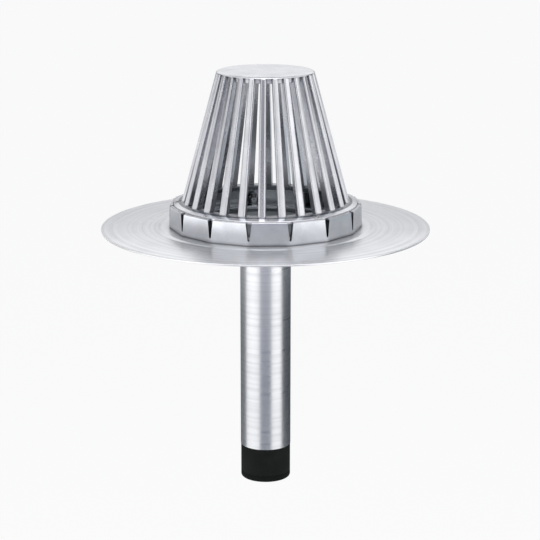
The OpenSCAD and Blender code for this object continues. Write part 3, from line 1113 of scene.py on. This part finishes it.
@dataclass
class ClampingRing:
    """Cast ring of flat panels with V-shaped slots between them, and its clamping foot."""

    ring: CopyRing
    panels: int = 15
    first_slot_deg: float = -9.5
    corner_radius: float = 130.6
    bore_radius: float = 121.5
    ledge_width: float = 3.1
    panel_bevel: float = 0.8
    slot_top_width: float = 8.2
    slot_end_width: float = 2.6
    slot_overrun: float = 1.0
    sill: float = 6.2
    foot_radius: float = 100.0
    foot_thickness: float = 5.5
    foot_bevel: float = 1.5
    pad_radius: float = 9.5
    pad_height: float = 2.5
    pad_circle: float = 110.0
    pad_hole_radius: float = 4.45
    first_pad_deg: float = 9.0
    post_radius: float = 6.5
    post_gap: float = 0.3
    post_circle: float = 118.65
    post_hole_radius: float = 2.45
    first_post_deg: float = 33.0
    boss_edge: float = 0.6
    edge_radius: float = 0.35
    columns: int = 8
    arc_steps: int = 4

    def __post_init__(self) -> None:
        """Works out the ring's levels from the frame."""
        self.low = low_mm("clamping_ring")
        self.top = top_mm("clamping_ring")
        self.ledge = low_mm("strainer_dome")
        self.end_radius = self.slot_end_width / 2
        self.arc_level = self.low + self.sill + self.end_radius
        self.flat_radius = self.corner_radius * math.cos(math.pi / self.panels)

    def half_slot(self, height: float) -> float:
        """Half the slot's width at a height, 0 below its round end."""
        below = self.arc_level - height
        if below >= self.end_radius:
            return 0.0
        if below > 0:
            return math.sqrt(self.end_radius**2 - below**2)
        rise = self.top + self.slot_overrun - self.arc_level
        return self.end_radius + (self.slot_top_width / 2 - self.end_radius) * -below / rise

    def section(self) -> list[tuple[float | Face, float]]:
        """Section from the outer foot up, over the top and down inside."""
        arc = [
            self.arc_level - self.end_radius * math.cos(math.pi / 2 * i / self.arc_steps)
            for i in range(self.arc_steps + 1)
        ]
        ledge_radius = self.bore_radius + self.ledge_width
        foot_top = self.low + self.foot_thickness
        return (
            [(Face.PLAIN, self.low)]
            + [(Face.PLAIN, height) for height in arc]
            + [(Face.PLAIN, self.ledge), (Face.PLAIN, self.top - self.panel_bevel)]
            + [(Face.BEVELLED, self.top), (ledge_radius, self.top), (ledge_radius, self.ledge)]
            + [(self.bore_radius, self.ledge)]
            + [(self.bore_radius, height) for height in reversed(arc)]
            + [
                (self.bore_radius, foot_top),
                (self.foot_radius + self.foot_bevel, foot_top),
                (self.foot_radius, foot_top - self.foot_bevel),
                (self.foot_radius, self.low),
            ]
        )

    def sector(self) -> bpy.types.Mesh:
        """One panel with half a slot on each side and its share of the foot."""
        half_turn = math.pi / self.panels
        section = self.section()
        points: list[tuple[float, float, float]] = []
        for radius, height in section:
            bevel = self.panel_bevel if radius is Face.BEVELLED else 0.0
            flat = self.flat_radius - bevel
            for column in range(self.columns + 1):
                share = 2 * column / self.columns - 1
                if isinstance(radius, Face):
                    reach = flat * math.tan(half_turn)
                    gap = self.half_slot(height) / math.cos(half_turn)
                    points.append((share * (reach - gap), -flat, height))
                    continue
                slotted = radius >= self.bore_radius
                gap = math.asin(self.half_slot(height) / radius) if slotted else 0.0
                points.append((*around(radius, share * (half_turn - gap)), height))
        width = self.columns + 1
        count = len(section)
        faces = [
            [
                row * width + column,
                row * width + column + 1,
                (row + 1) % count * width + column + 1,
                (row + 1) % count * width + column,
            ]
            for row in range(count)
            for column in range(self.columns)
        ]
        faces += self.cheeks(width)
        return write_mesh("ring_sector", points, faces)

    def cheeks(self, width: int) -> list[list[int]]:
        """Faces of the slot's two sides, between the outer and the inner rows of a sector."""
        steps = self.arc_steps
        outer = list(range(1, steps + 2))
        ledge_out, edge_out, top_out, top_in, ledge_in, wall_top = range(steps + 2, steps + 8)
        inner = list(range(2 * steps + 8, steps + 7, -1))
        strips = [[outer[i], outer[i + 1], inner[i + 1], inner[i]] for i in range(steps)]
        strips.append([outer[-1], ledge_out, ledge_in, wall_top, inner[-1]])
        strips.append([ledge_out, edge_out, top_out, top_in, ledge_in])
        return [
            [row * width + column for row in strip]
            for strip in strips
            for column in (0, width - 1)
        ]

    def build(self) -> None:
        """Makes the ring from its sectors."""
        first = self.first_slot_deg + 180 / self.panels
        mesh = self.ring.copies(
            self.sector(), "ring_cast", self.panels, 0.0, first, Finishes.CAST_RING, WELD_MM
        )
        face_outwards(mesh)
        mesh = machined(bevelled(mesh, self.edge_radius, 2), self.bosses_and_holes())
        set_piece(
            "clamping_ring_cast", evenly_shaded(mesh), Finishes.CAST_RING, "drain",
            ["clamping_ring"], None,
        )

    def bosses_and_holes(self) -> list[tuple[Cut, bpy.types.Mesh]]:
        """Pads under the washers and posts under the dome's rim, with their holes."""
        foot_top = self.low + self.foot_thickness
        pads, posts = len(numbered("clamp_stud")), len(numbered("dome_screw"))
        made = []
        for cut, name, radius, low, high, count, circle, first in (
            (Cut.ADD, "pads", self.pad_radius, foot_top - OVERCUT_MM,
             foot_top + self.pad_height, pads, self.pad_circle, self.first_pad_deg),
            (Cut.ADD, "posts", self.post_radius, foot_top - OVERCUT_MM,
             self.ledge - self.post_gap, posts, self.post_circle, self.first_post_deg),
            (Cut.REMOVE, "stud_holes", self.pad_hole_radius, self.low - OVERCUT_MM, self.top,
             pads, self.pad_circle, self.first_pad_deg),
            (Cut.REMOVE, "screw_holes", self.post_hole_radius,
             low_mm("dome_screw_1") - OVERCUT_MM, self.top, posts, self.post_circle,
             self.first_post_deg),
        ):
            tool = bar(name, radius, low, high, self.boss_edge if cut is Cut.ADD else 0.0)
            copies = self.ring.copies(tool, name, count, circle, first, Finishes.CAST_RING)
            made.append((cut, copies))
        return made


@dataclass
class StrainerDome:
    """Cast strainer: a rim, straight ribs that lean inwards, and a flat cap."""

    ring: CopyRing
    ribs: int = 26
    first_rib_deg: float = -2.4
    foot_width: float = 12.1
    top_share: float = 0.73
    root_share: float = 0.65
    nose_radius: float = 3.0
    nose_steps: int = 5
    fullest: float = 0.75
    inset: float = 0.3
    depth: float = 12.0
    foot_radius: float = 113.1
    top_radius: float = 65.5
    rim_edge: float = 3.9
    rim_rise: float = 3.1
    rim_edge_radius: float = 1.4
    rim_inner_width: float = 2.5
    rim_inner_fall: float = 1.0
    shoulder_radius: float = 5.5
    cap_thickness: float = 6.0
    cap_lip: float = 2.0
    gap_end_inset: float = 4.6
    hoop: float = 3.0
    pocket_radius: float = 5.0
    pocket_circle: float = 118.65
    first_pocket_deg: float = 33.0
    screw_hole_radius: float = 3.0
    edge_radius: float = 0.6
    arc_steps: int = 4
    under_rows: tuple[float, ...] = (1, 0.75, 0.45, 0)
    cap_rows: tuple[float, ...] = (0.8, 0.55, 0.3, 0)

    def __post_init__(self) -> None:
        """Works out the dome's levels from the frame, and a rib's nose at its foot."""
        self.low = low_mm("strainer_dome")
        self.top = top_mm("strainer_dome")
        self.rim_radius = reach_mm("strainer_dome")
        self.rim_top = self.low + self.rim_edge + self.rim_rise
        self.lean = (self.foot_radius - self.top_radius) / (self.top - self.rim_top)
        self.cap_radius = self.top_radius - self.gap_end_inset
        self.hoop_level = self.top - self.cap_thickness - self.hoop
        face = self.foot_width / 2
        root = face * self.root_share
        outline = rounded(
            [(-root, self.depth), (-face, 0), (face, 0), (root, self.depth)],
            [0, self.nose_radius, self.nose_radius, 0],
            self.nose_steps,
            closed=False,
        )
        self.nose = outline[1:-1]

    def face_radius(self, height: float) -> float:
        """Radius of the ribs' outer faces at a height."""
        return self.foot_radius - (height - self.rim_top) * self.lean

    def share(self, height: float) -> float:
        """Width of a rib at a height as a share of its width at the foot."""
        rise = max(height - self.rim_top, 0.0) / (self.top - self.rim_top)
        return 1 - (1 - self.top_share) * rise

    def on_circle(self, radius: float, height: float) -> list[Point]:
        """Places across a rib on a circle about the axis."""
        deep = min(max(self.face_radius(height) - radius, 0.0), self.depth)
        half = self.foot_width / 2 * (1 - (1 - self.root_share) * deep / self.depth)
        most = radius * math.sin(math.pi / self.ribs) * self.fullest
        half = min(half * self.share(height), most)
        across = [x / self.nose[-1][0] * half for x, _ in self.nose]
        return [(x, -math.sqrt(radius**2 - x**2)) for x in across]

    def on_nose(self, radius: float, height: float) -> list[Point]:
        """Places across a rib's round nose, no farther out than a circle about the axis."""
        cut = self.face_radius(height) - radius
        made = []
        for x, back in self.nose:
            across = x * self.share(height)
            behind = max(back + self.inset - cut, 0.0)
            made.append((across, behind - math.sqrt(radius**2 - across**2)))
        return made

    def rim_rows(self) -> list[Point]:
        """Rows of the rim from the ribs' feet out, round the edge and back to the ribs' roots."""
        foot, root = self.foot_radius, self.foot_radius - self.depth
        inner = root - self.rim_inner_width
        edge = rounded(
            [(foot, self.rim_top), (self.rim_radius, self.low + self.rim_edge),
             (self.rim_radius, self.low)],
            [0, self.rim_edge_radius, 0],
            self.arc_steps,
            closed=False,
        )
        return [
            *edge,
            (inner, self.low),
            (inner, self.rim_top - self.rim_inner_fall),
            (root, self.rim_top),
        ]

    def shoulder(self) -> tuple[list[Point], list[Point]]:
        """Section of a rib's head from the hoop's level up to the cap's lip, and on to the top."""
        whole = rounded(
            [
                (self.face_radius(self.hoop_level), self.hoop_level),
                (self.top_radius, self.top),
                (self.cap_radius, self.top),
            ],
            [0, self.shoulder_radius, 0],
            self.arc_steps + 2,
            closed=False,
        )
        level = self.top - self.cap_lip
        low = [point for point in whole if point[1] < level]
        high = [point for point in whole if point[1] > level]
        way = (level - low[-1][1]) / (high[0][1] - low[-1][1])
        lip = (low[-1][0] + (high[0][0] - low[-1][0]) * way, level)
        return [*low, lip], [lip, *high]

    def sector(self) -> bpy.types.Mesh:
        """One rib with its share of the rim and the cap, open at both sides."""
        grid = SectorMesh(math.pi / self.ribs)
        columns = len(self.nose)
        every, rib = range(columns + 3), range(2, columns + 1)
        gap = (0, 1, columns + 1, columns + 2)

        def circle(radius: float, height: float) -> list[int]:
            """Adds a row on a circle about the axis."""
            return grid.row(radius, height, self.on_circle(max(radius, 1.0), height))

        def nose(radius: float, height: float) -> list[int]:
            """Adds a row over the rib's round nose."""
            return grid.row(radius, height, self.on_nose(radius, height))

        def sheet(rows: Sequence[Sequence[int]], across: Sequence[int]) -> None:
            """Joins each row to the next by faces in the given columns."""
            for low, high in zip(rows, rows[1:]):
                grid.strip(low, high, across)

        split_radius = self.foot_radius - (self.face_radius(self.hoop_level) - self.cap_radius)
        split = circle(split_radius, self.rim_top)
        rim = [circle(*point) for point in self.rim_rows()]
        sheet(rim, every)
        sheet([rim[-1], split, rim[0]], gap)

        root_radius = self.face_radius(self.hoop_level) - self.depth
        under = self.top - self.cap_thickness
        under_radius = root_radius - self.lean * self.hoop
        hoop = circle(self.cap_radius, self.hoop_level)
        root = circle(root_radius, self.hoop_level)
        lip_root = circle(self.cap_radius, self.top - self.cap_lip)
        sheet([root, *(circle(under_radius * share, under) for share in self.under_rows)], every)
        below, above = self.shoulder()
        head = [nose(*point) for point in below]
        cap = [circle(*point) for point in above]
        cap += [circle(self.cap_radius * share, self.top) for share in self.cap_rows]
        sheet(cap, every)
        sheet([root, hoop, lip_root, cap[0]], gap)

        foot = nose(self.foot_radius, self.rim_top)
        sheet([rim[0], foot, *head, cap[0]], rib)
        sheet([rim[-1], root], rib)
        for side in (2, columns + 1):
            grid.face(split[side], foot[side], rim[0][side])
            grid.face(lip_root[side], head[-1][side], cap[0][side])
            grid.face(foot[side], split[side], hoop[side], head[0][side])
            grid.face(split[side], rim[-1][side], root[side], hoop[side])
            grid.face(hoop[side], *(row[side] for row in head), lip_root[side])
        return write_mesh("dome_sector", grid.points, grid.faces)

    def build(self) -> None:
        """Makes the dome from its sectors."""
        mesh = self.ring.copies(
            self.sector(), "dome_cast", self.ribs, 0.0, self.first_rib_deg, Finishes.CAST_DOME,
            WELD_MM,
        )
        face_outwards(mesh)
        mesh = bevelled(mesh, self.edge_radius, 2, corners_only=True)
        mesh = machined(mesh, self.pockets())
        set_piece(
            "strainer_dome_cast", evenly_shaded(mesh), Finishes.CAST_DOME, "drain",
            ["strainer_dome"], None,
        )

    def pockets(self) -> list[tuple[Cut, bpy.types.Mesh]]:
        """Pockets in the rim for the dome screws' heads, with their holes."""
        screws = numbered("dome_screw")
        floor = top_mm(screws[0]) - DomeScrews.head_height
        made = []
        for name, radius, low in (
            ("pockets", self.pocket_radius, floor),
            ("holes", self.screw_hole_radius, self.low - OVERCUT_MM),
        ):
            tool = bar(name, radius, low, self.rim_top + OVERCUT_MM)
            copies = self.ring.copies(
                tool, name, len(screws), self.pocket_circle, self.first_pocket_deg,
                Finishes.CAST_DOME,
            )
            made.append((Cut.REMOVE, copies))
        return made


class Way(Enum):
    """Which way a bar's bevelled tip points."""

    UP = 1
    DOWN = -1


@dataclass(frozen=True)
class Thread:
    """A rolled screw thread."""

    radius: float
    pitch: float
    tip_bevel: float = 0.8
    segments: int = 24

    def bar(self, foot: float, tip: float, way: Way) -> list[Row | Point]:
        """Rows of a threaded bar from its foot to the pole at its tip, heights in millimetres."""
        step = self.tip_bevel * way.value
        low, high = sorted((foot, tip - step))
        rows = thread_rows(self.radius, self.pitch, low, high)
        if way is Way.DOWN:
            rows.reverse()
        return [*rows, (self.radius - self.tip_bevel, tip), (0.0, tip)]


@dataclass
class SocketScrew:
    """Cap screw with a hexagon socket, standing on the drain's axis before it is placed."""

    thread: Thread
    head_radius: float
    head_height: float
    under_head: float
    length: float
    socket: float
    head_bevel: float = 0.5
    bevel_bulge: float = 0.3

    def mesh(self, name: str) -> bpy.types.Mesh:
        """Makes the screw, from the socket's floor over the head and down to the tip."""
        top = self.under_head + self.head_height
        floor = self.under_head + self.head_height / 2
        mouth = self.socket / math.sqrt(3) + self.head_bevel / 2
        bulge = self.head_bevel * self.bevel_bulge
        rows: list[Row | Point] = [
            (0.0, floor),
            hexagon_row(self.socket, floor),
            hexagon_row(self.socket, top - self.head_bevel / 2),
            (mouth, top),
            (self.head_radius - self.head_bevel, top),
            (self.head_radius - bulge, top - bulge),
            (self.head_radius, top - self.head_bevel),
            (self.head_radius, self.under_head + self.head_bevel / 2),
            (self.head_radius - self.head_bevel / 2, self.under_head),
        ]
        rows += self.thread.bar(self.under_head, self.under_head - self.length, Way.DOWN)
        return turned(name, rows, self.thread.segments)


@dataclass
class ClampingFasteners:
    """Weld studs with the washers and nuts that hold the clamping ring down."""

    ring: CopyRing
    thread: Thread = Thread(radius=3.95, pitch=1.41)
    circle: float = 110.0
    first_deg: float = 9.0
    washer_radius: float = 8.25
    washer_play: float = 0.5
    across_flats: float = 12.7
    chamfer_slope: float = 0.5
    bore_chamfer: float = 0.5
    face_drop: float = 0.15
    segments: int = 48

    def stud(self) -> bpy.types.Mesh:
        """One threaded stud, from the seat up."""
        low, high = low_mm("clamp_stud_1"), top_mm("clamp_stud_1")
        rows = [(0.0, low), *self.thread.bar(low, high, Way.UP)]
        return turned("stud", rows, self.thread.segments)

    def washer(self) -> bpy.types.Mesh:
        """One stamped washer, with the rounded edge of its punched side on top."""
        low, high = low_mm("clamp_washer_1"), top_mm("clamp_washer_1")
        bore = self.thread.radius + self.washer_play
        edge = (high - low) / 4
        corners = [
            (bore, low), (self.washer_radius, low), (self.washer_radius, high), (bore, high)
        ]
        section = rounded(corners, [0, edge / 2, edge, edge / 2], 3)
        return turned("washer", section, self.segments)

    def nut(self) -> bpy.types.Mesh:
        """One hexagon nut, chamfered on both sides."""
        low, high = low_mm("clamp_nut_1"), top_mm("clamp_nut_1")
        bore = self.thread.radius
        flat = self.across_flats / 2 - self.bore_chamfer / 2
        rows = [
            (bore, low + self.bore_chamfer),
            (bore + self.bore_chamfer, low),
            (flat, low),
            hexagon_row(self.across_flats, low + self.face_drop, -self.chamfer_slope),
            hexagon_row(self.across_flats, high - self.face_drop, self.chamfer_slope),
            (flat, high),
            (bore + self.bore_chamfer, high),
            (bore, high - self.bore_chamfer),
        ]
        return turned("nut", rows, self.segments)

    def build(self) -> None:
        """Makes the studs, washers and nuts."""
        for name, stem, source, finish in (
            ("clamping_studs", "clamp_stud", self.stud(), Finishes.STEEL_STUDS),
            ("clamping_washers", "clamp_washer", self.washer(), Finishes.STEEL_WASHERS),
            ("clamping_nuts", "clamp_nut", self.nut(), Finishes.STEEL_NUTS),
        ):
            nodes = numbered(stem)
            mesh = self.ring.copies(source, name, len(nodes), self.circle, self.first_deg, finish)
            set_piece(name, mesh, finish, "drain", nodes)


@dataclass
class DomeScrews:
    """Socket screws that hold the dome's rim down in the clamping ring."""

    ring: CopyRing
    thread: Thread = Thread(radius=2.5, pitch=0.8)
    circle: float = 118.65
    first_deg: float = 33.0
    head_radius: float = 4.3
    head_height: float = 3.4
    socket: float = 4.0

    def build(self) -> None:
        """Makes the screws."""
        nodes = numbered("dome_screw")
        under = top_mm(nodes[0]) - self.head_height
        screw = SocketScrew(
            self.thread, self.head_radius, self.head_height, under,
            under - low_mm(nodes[0]), self.socket,
        )
        mesh = self.ring.copies(
            screw.mesh("dome_screw"), "dome_screws", len(nodes), self.circle, self.first_deg,
            Finishes.STEEL_SCREWS,
        )
        set_piece("dome_screws", mesh, Finishes.STEEL_SCREWS, "drain", nodes)


@dataclass
class StemSeal:
    """Seat ring, rubber sleeve, compression ring and screws at the stem's end."""

    ring: CopyRing
    thread: Thread = Thread(radius=2.4, pitch=1.058, segments=20)
    wall: float = 11.6
    inset: float = 0.4
    gauge: float = 2.3
    weld_gap: float = 0.05
    seat_bevel: float = 1.5
    seat_edge_radius: float = 0.3
    seat_segments: int = 96
    ring_edge_radius: float = 3.0
    ring_bore_edge_radius: float = 1.0
    ring_top_edge_radius: float = 0.4
    soft_edge_radius: float = 1.0
    head_radius: float = 3.95
    head_height: float = 4.8
    socket: float = 4.0
    segments: int = 128

    def __post_init__(self) -> None:
        """Works out the seal's radii from the stem."""
        self.outer = stem_radius_mm() - self.inset
        self.bore = self.outer - self.wall
        self.seat_radius = stem_radius_mm() - self.gauge - self.weld_gap

    def seat(self) -> None:
        """Makes the turned seat ring inside the stem's end."""
        low, high = low_mm("seal_seat"), top_mm("seal_seat")
        corners = [
            (self.bore, low), (self.seat_radius, low), (self.seat_radius, high),
            (self.bore + self.seat_bevel / 2, high), (self.bore, high - self.seat_bevel),
        ]
        edge = self.seat_edge_radius
        section = rounded(corners, [edge, edge, 0, edge, edge], 2)
        mesh = turned("seal_seat_turned", section, self.seat_segments)
        set_piece("seat_ring", mesh, Finishes.TURNED_SEAT, "drain", ["seal_seat"])

    def sleeve(self) -> None:
        """Makes the rubber sleeve and gives it a mesh of its own."""
        low, high = low_mm("seal_sleeve"), top_mm("seal_sleeve")
        soft = self.soft_edge_radius
        corners = [(self.bore, low), (self.outer, low), (self.outer, high), (self.bore, high)]
        section = rounded(corners, [0, soft / 2, soft, 0], 4)
        mesh = turned("seal_sleeve_rubber", section, self.segments)
        piece = set_piece("rubber_sleeve", mesh, Finishes.RUBBER, "drain", ["seal_sleeve"])
        squeeze = next(j for j in frame["joints"] if j["name"] == "seal_squeeze")
        travel = max(squeeze["range_m"]) / MM
        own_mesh(piece)

    def compression_ring(self) -> None:
        """Makes the moulded ring that the screws draw up against the sleeve."""
        low, high = low_mm("compression_ring"), top_mm("compression_ring")
        corners = [(self.bore, low), (self.outer, low), (self.outer, high), (self.bore, high)]
        radii = [self.ring_bore_edge_radius, self.ring_edge_radius, self.ring_top_edge_radius, 0]
        section = rounded(corners, radii, 6)
        mesh = turned("compression_ring_moulded", section, self.segments)
        set_piece(
            "compression_ring_moulded", mesh, Finishes.NYLON, "compression_ring",
            ["compression_ring"],
        )

    def screws(self) -> None:
        """Makes the seal screws, each on its own body."""
        nodes = numbered("seal_screw")
        circle = (self.bore + self.seat_radius) / 2
        for i, node in enumerate(nodes):
            under = top_mm(node) - self.head_height
            screw = SocketScrew(
                self.thread, self.head_radius, self.head_height, under,
                under - low_mm(node), self.socket,
            )
            mesh = self.ring.copies(
                screw.mesh(f"{node}_blank"), f"{node}_threaded", 1, circle,
                i * 360 / len(nodes), Finishes.STEEL_SCREWS,
            )
            set_piece(f"{node}_threaded", mesh, Finishes.STEEL_SCREWS, node, [node])

    def build(self) -> None:
        """Makes the whole seal."""
        self.seat()
        self.sleeve()
        self.compression_ring()
        self.screws()


# ---- Studio ---------------------------------------------------------------------------


@dataclass(frozen=True)
class Softbox:
    """A rectangular area light that faces the drain's axis.

    Attributes:
        turn_deg: Where it stands, from -Y towards +X.
        distance: Distance from the axis, in metres.
        low: Height of its lower edge, in metres.
        high: Height of its upper edge, in metres.
        width: Its width, in metres.
        radiance: Its brightness, where 1 shows as white.
        tilt_deg: How far it leans over the drain.
    """

    name: str
    turn_deg: float
    distance: float
    low: float
    high: float
    width: float
    radiance: float
    tilt_deg: float = 0.0

    def build(self) -> None:
        """Makes the lamp."""
        height = self.high - self.low
        lamp = bpy.data.lights.new(self.name, "AREA")
        lamp.shape = "RECTANGLE"
        lamp.size, lamp.size_y = self.width, height
        lamp.energy = self.radiance * math.pi * self.width * height
        holder = placed(self.name, lamp)
        turn = math.radians(self.turn_deg)
        holder.location = (*around(self.distance, turn), (self.low + self.high) / 2)
        holder.rotation_euler = Euler((math.radians(90 - self.tilt_deg), 0.0, turn))


@dataclass(frozen=True)
class Card:
    """A curved card round the drain that only its metal sees, as a grey stripe.

    Attributes:
        start_deg: Where the card begins, from -Y towards +X.
        end_deg: Where it ends.
        low: Height of its lower edge, in metres.
        high: Height of its upper edge, in metres.
        colour: Colour of its upper edge in sRGB hex.
        low_colour: Colour of its lower edge, or nothing for one colour all over.
        distance: Distance from the axis, in metres.
    """

    name: str
    start_deg: float
    end_deg: float
    low: float
    high: float
    colour: str
    low_colour: str = ""
    distance: float = 1.15
    steps: int = 24

    def build(self) -> None:
        """Makes the card."""
        points = []
        span = self.end_deg - self.start_deg
        for i in range(self.steps + 1):
            spot = around(self.distance, math.radians(self.start_deg + span * i / self.steps))
            points += [(*spot, self.low), (*spot, self.high)]
        faces = [[2 * i, 2 * i + 2, 2 * i + 3, 2 * i + 1] for i in range(self.steps)]
        mesh = bpy.data.meshes.new(self.name)
        mesh.from_pydata(points, [], faces)
        paint = empty_material(self.name)
        tree = paint.node_tree
        place = add_node(tree, "ShaderNodeTexCoord").outputs["Object"]
        height = add_node(tree, "ShaderNodeSeparateXYZ", inputs={0: place}).outputs[2]
        rise = add_node(tree, "ShaderNodeMapRange", inputs={
            "Value": height, "From Min": self.low, "From Max": self.high,
        }).outputs[0]
        colour = add_node(tree, "ShaderNodeMix", {"data_type": "RGBA"}, {
            "Factor": rise, 6: linear(self.low_colour or self.colour), 7: linear(self.colour),
        }).outputs[2]
        glow = add_node(tree, "ShaderNodeEmission", inputs={"Color": colour})
        add_node(tree, "ShaderNodeOutputMaterial", inputs={"Surface": glow.outputs[0]})
        mesh.materials.append(paint)
        card = placed(self.name, mesh)
        for ray in ("camera", "diffuse", "transmission", "volume_scatter", "shadow"):
            setattr(card, f"visible_{ray}", False)


@dataclass
class Studio:
    """White surroundings, a pale floor, soft lamps, cards for the metal and the camera."""

    floor_level: float = -0.70
    floor_size: float = 40.0
    floor_colour: str = "#ffffff"
    floor_glow: float = 0.88
    ambient_colour: str = "#c4c5c7"
    camera_place: tuple[float, float, float] = (0.0061, -2.5, 0.5663)
    camera_pitch_deg: float = 14.05
    lens_mm: float = 126.0
    lamps: tuple[Softbox, ...] = (
        Softbox("stem_left", -60.0, 1.3, -0.64, -0.38, 0.75, 0.12),
        Softbox("stem_right", 57.0, 1.3, -0.64, -0.38, 0.6, 0.15),
        Softbox("ring_left", -66.0, 1.3, -0.36, -0.05, 1.7, 1.1),
        Softbox("ring_right", 53.0, 1.3, -0.36, -0.05, 1.2, 0.8),
        Softbox("dome_left", -40.0, 1.3, 0.36, 1.00, 0.9, 0.12),
        Softbox("dome_right", 52.0, 1.3, 0.30, 1.00, 1.2, 0.4),
        Softbox("back", 180.0, 1.3, 0.50, 0.95, 1.2, 0.22),
        Softbox("overhead", 0.0, 0.45, 1.20, 2.00, 1.4, 1.8, tilt_deg=75.0),
    )
    cards: tuple[Card, ...] = (
        Card("front_foot", -26.0, 26.0, -0.69, -0.42, "#566272", distance=0.7),
        Card("front_low", -26.0, 26.0, -0.42, -0.22, "#cfced8", "#566272", distance=0.7),
        Card("front_mid", -26.0, 26.0, -0.36, 0.02, "#cfced8"),
        Card("front_high", -17.0, 12.0, 0.34, 0.80, "#6c6c7c"),
        Card("left_high", -150.0, -62.0, 0.36, 0.80, "#3c3e48"),
        Card("left_back_low", -180.0, -97.0, -0.69, -0.19, "#6c7074", distance=0.7),
        Card("right_back_mid", 84.0, 180.0, -0.33, -0.05, "#c4ccd2"),
        Card("right_back_low", 78.0, 180.0, -0.69, -0.19, "#3c4248", distance=0.7),
        Card("right_high", 82.0, 150.0, 0.36, 0.80, "#343a42"),
        Card("back_low", 140.0, 220.0, 0.10, 0.40, "#f8f8fa", "#8c8c8e"),
        Card("back_top", 140.0, 220.0, 1.15, 2.40, "#b0b4b8"),
    )

    def shown_white(self, tree: Tree) -> Socket:
        """Adds nodes that give 1 where the surroundings are seen, mirrored or looked through."""
        rays = add_node(tree, "ShaderNodeLightPath").outputs
        seen = rays["Is Camera Ray"]
        for ray in ("Is Glossy Ray", "Is Transmission Ray"):
            seen = add_node(
                tree, "ShaderNodeMath", {"operation": "MAXIMUM"}, {0: seen, 1: rays[ray]}
            ).outputs[0]
        return seen

    def world(self) -> None:
        """Makes the surroundings: white to the eye, and a plain grey light for the rest."""
        world = bpy.data.worlds.new("studio")
        world.use_nodes = True
        tree = world.node_tree
        tree.nodes.clear()
        light = add_node(tree, "ShaderNodeMix", {"data_type": "RGBA"}, {
            "Factor": self.shown_white(tree),
            6: linear(self.ambient_colour),
            7: (1.0, 1.0, 1.0, 1.0),
        })
        back = add_node(tree, "ShaderNodeBackground", inputs={"Color": light.outputs[2]})
        add_node(tree, "ShaderNodeOutputWorld", inputs={"Surface": back.outputs[0]})
        bpy.context.scene.world = world

    def floor(self) -> None:
        """Makes the floor, which shows white but keeps a soft shadow."""
        half = self.floor_size / 2
        mesh = bpy.data.meshes.new("floor")
        corners = [(-half, -half), (half, -half), (half, half), (-half, half)]
        mesh.from_pydata([(x, y, self.floor_level) for x, y in corners], [], [(0, 1, 2, 3)])
        paint = empty_material("painted_floor")
        tree = paint.node_tree
        matt = add_node(
            tree, "ShaderNodeBsdfDiffuse", inputs={"Color": linear(self.floor_colour)}
        )
        glow = add_node(tree, "ShaderNodeEmission")
        share = add_node(
            tree, "ShaderNodeMath", {"operation": "MULTIPLY"},
            {0: self.shown_white(tree), 1: self.floor_glow},
        )
        mixed = add_node(tree, "ShaderNodeMixShader", inputs={
            0: share.outputs[0], 1: matt.outputs[0], 2: glow.outputs[0],
        })
        add_node(tree, "ShaderNodeOutputMaterial", inputs={"Surface": mixed.outputs[0]})
        mesh.materials.append(paint)
        floor = placed("floor", mesh)

    def camera(self) -> None:
        """Makes the camera, a long lens that looks a little down on the drain."""
        lens = bpy.data.cameras.new("camera")
        lens.lens = self.lens_mm
        lens.sensor_width = 36.0
        lens.clip_end = 100.0
        holder = placed("camera", lens)
        holder.location = self.camera_place
        holder.rotation_euler = Euler((math.radians(90 - self.camera_pitch_deg), 0.0, 0.0))
        bpy.context.scene.camera = holder

    def build(self) -> None:
        """Makes the studio."""
        self.world()
        self.floor()
        for item in (*self.lamps, *self.cards):
            item.build()
        self.camera()
        bpy.context.scene.view_settings.view_transform = "Standard"


def main() -> None:
    """Builds the studio and the drain's pieces."""
    logging.basicConfig(level=logging.INFO, format="%(message)s")
    Studio().build()
    ring = CopyRing()
    for assembly in (
        SpunBody(),
        ClampingRing(ring),
        StrainerDome(ring),
        ClampingFasteners(ring),
        DomeScrews(ring),
        StemSeal(ring),
    ):
        assembly.build()
    bpy.data.node_groups.remove(ring.tree)


if __name__ == "__main__":
    main()
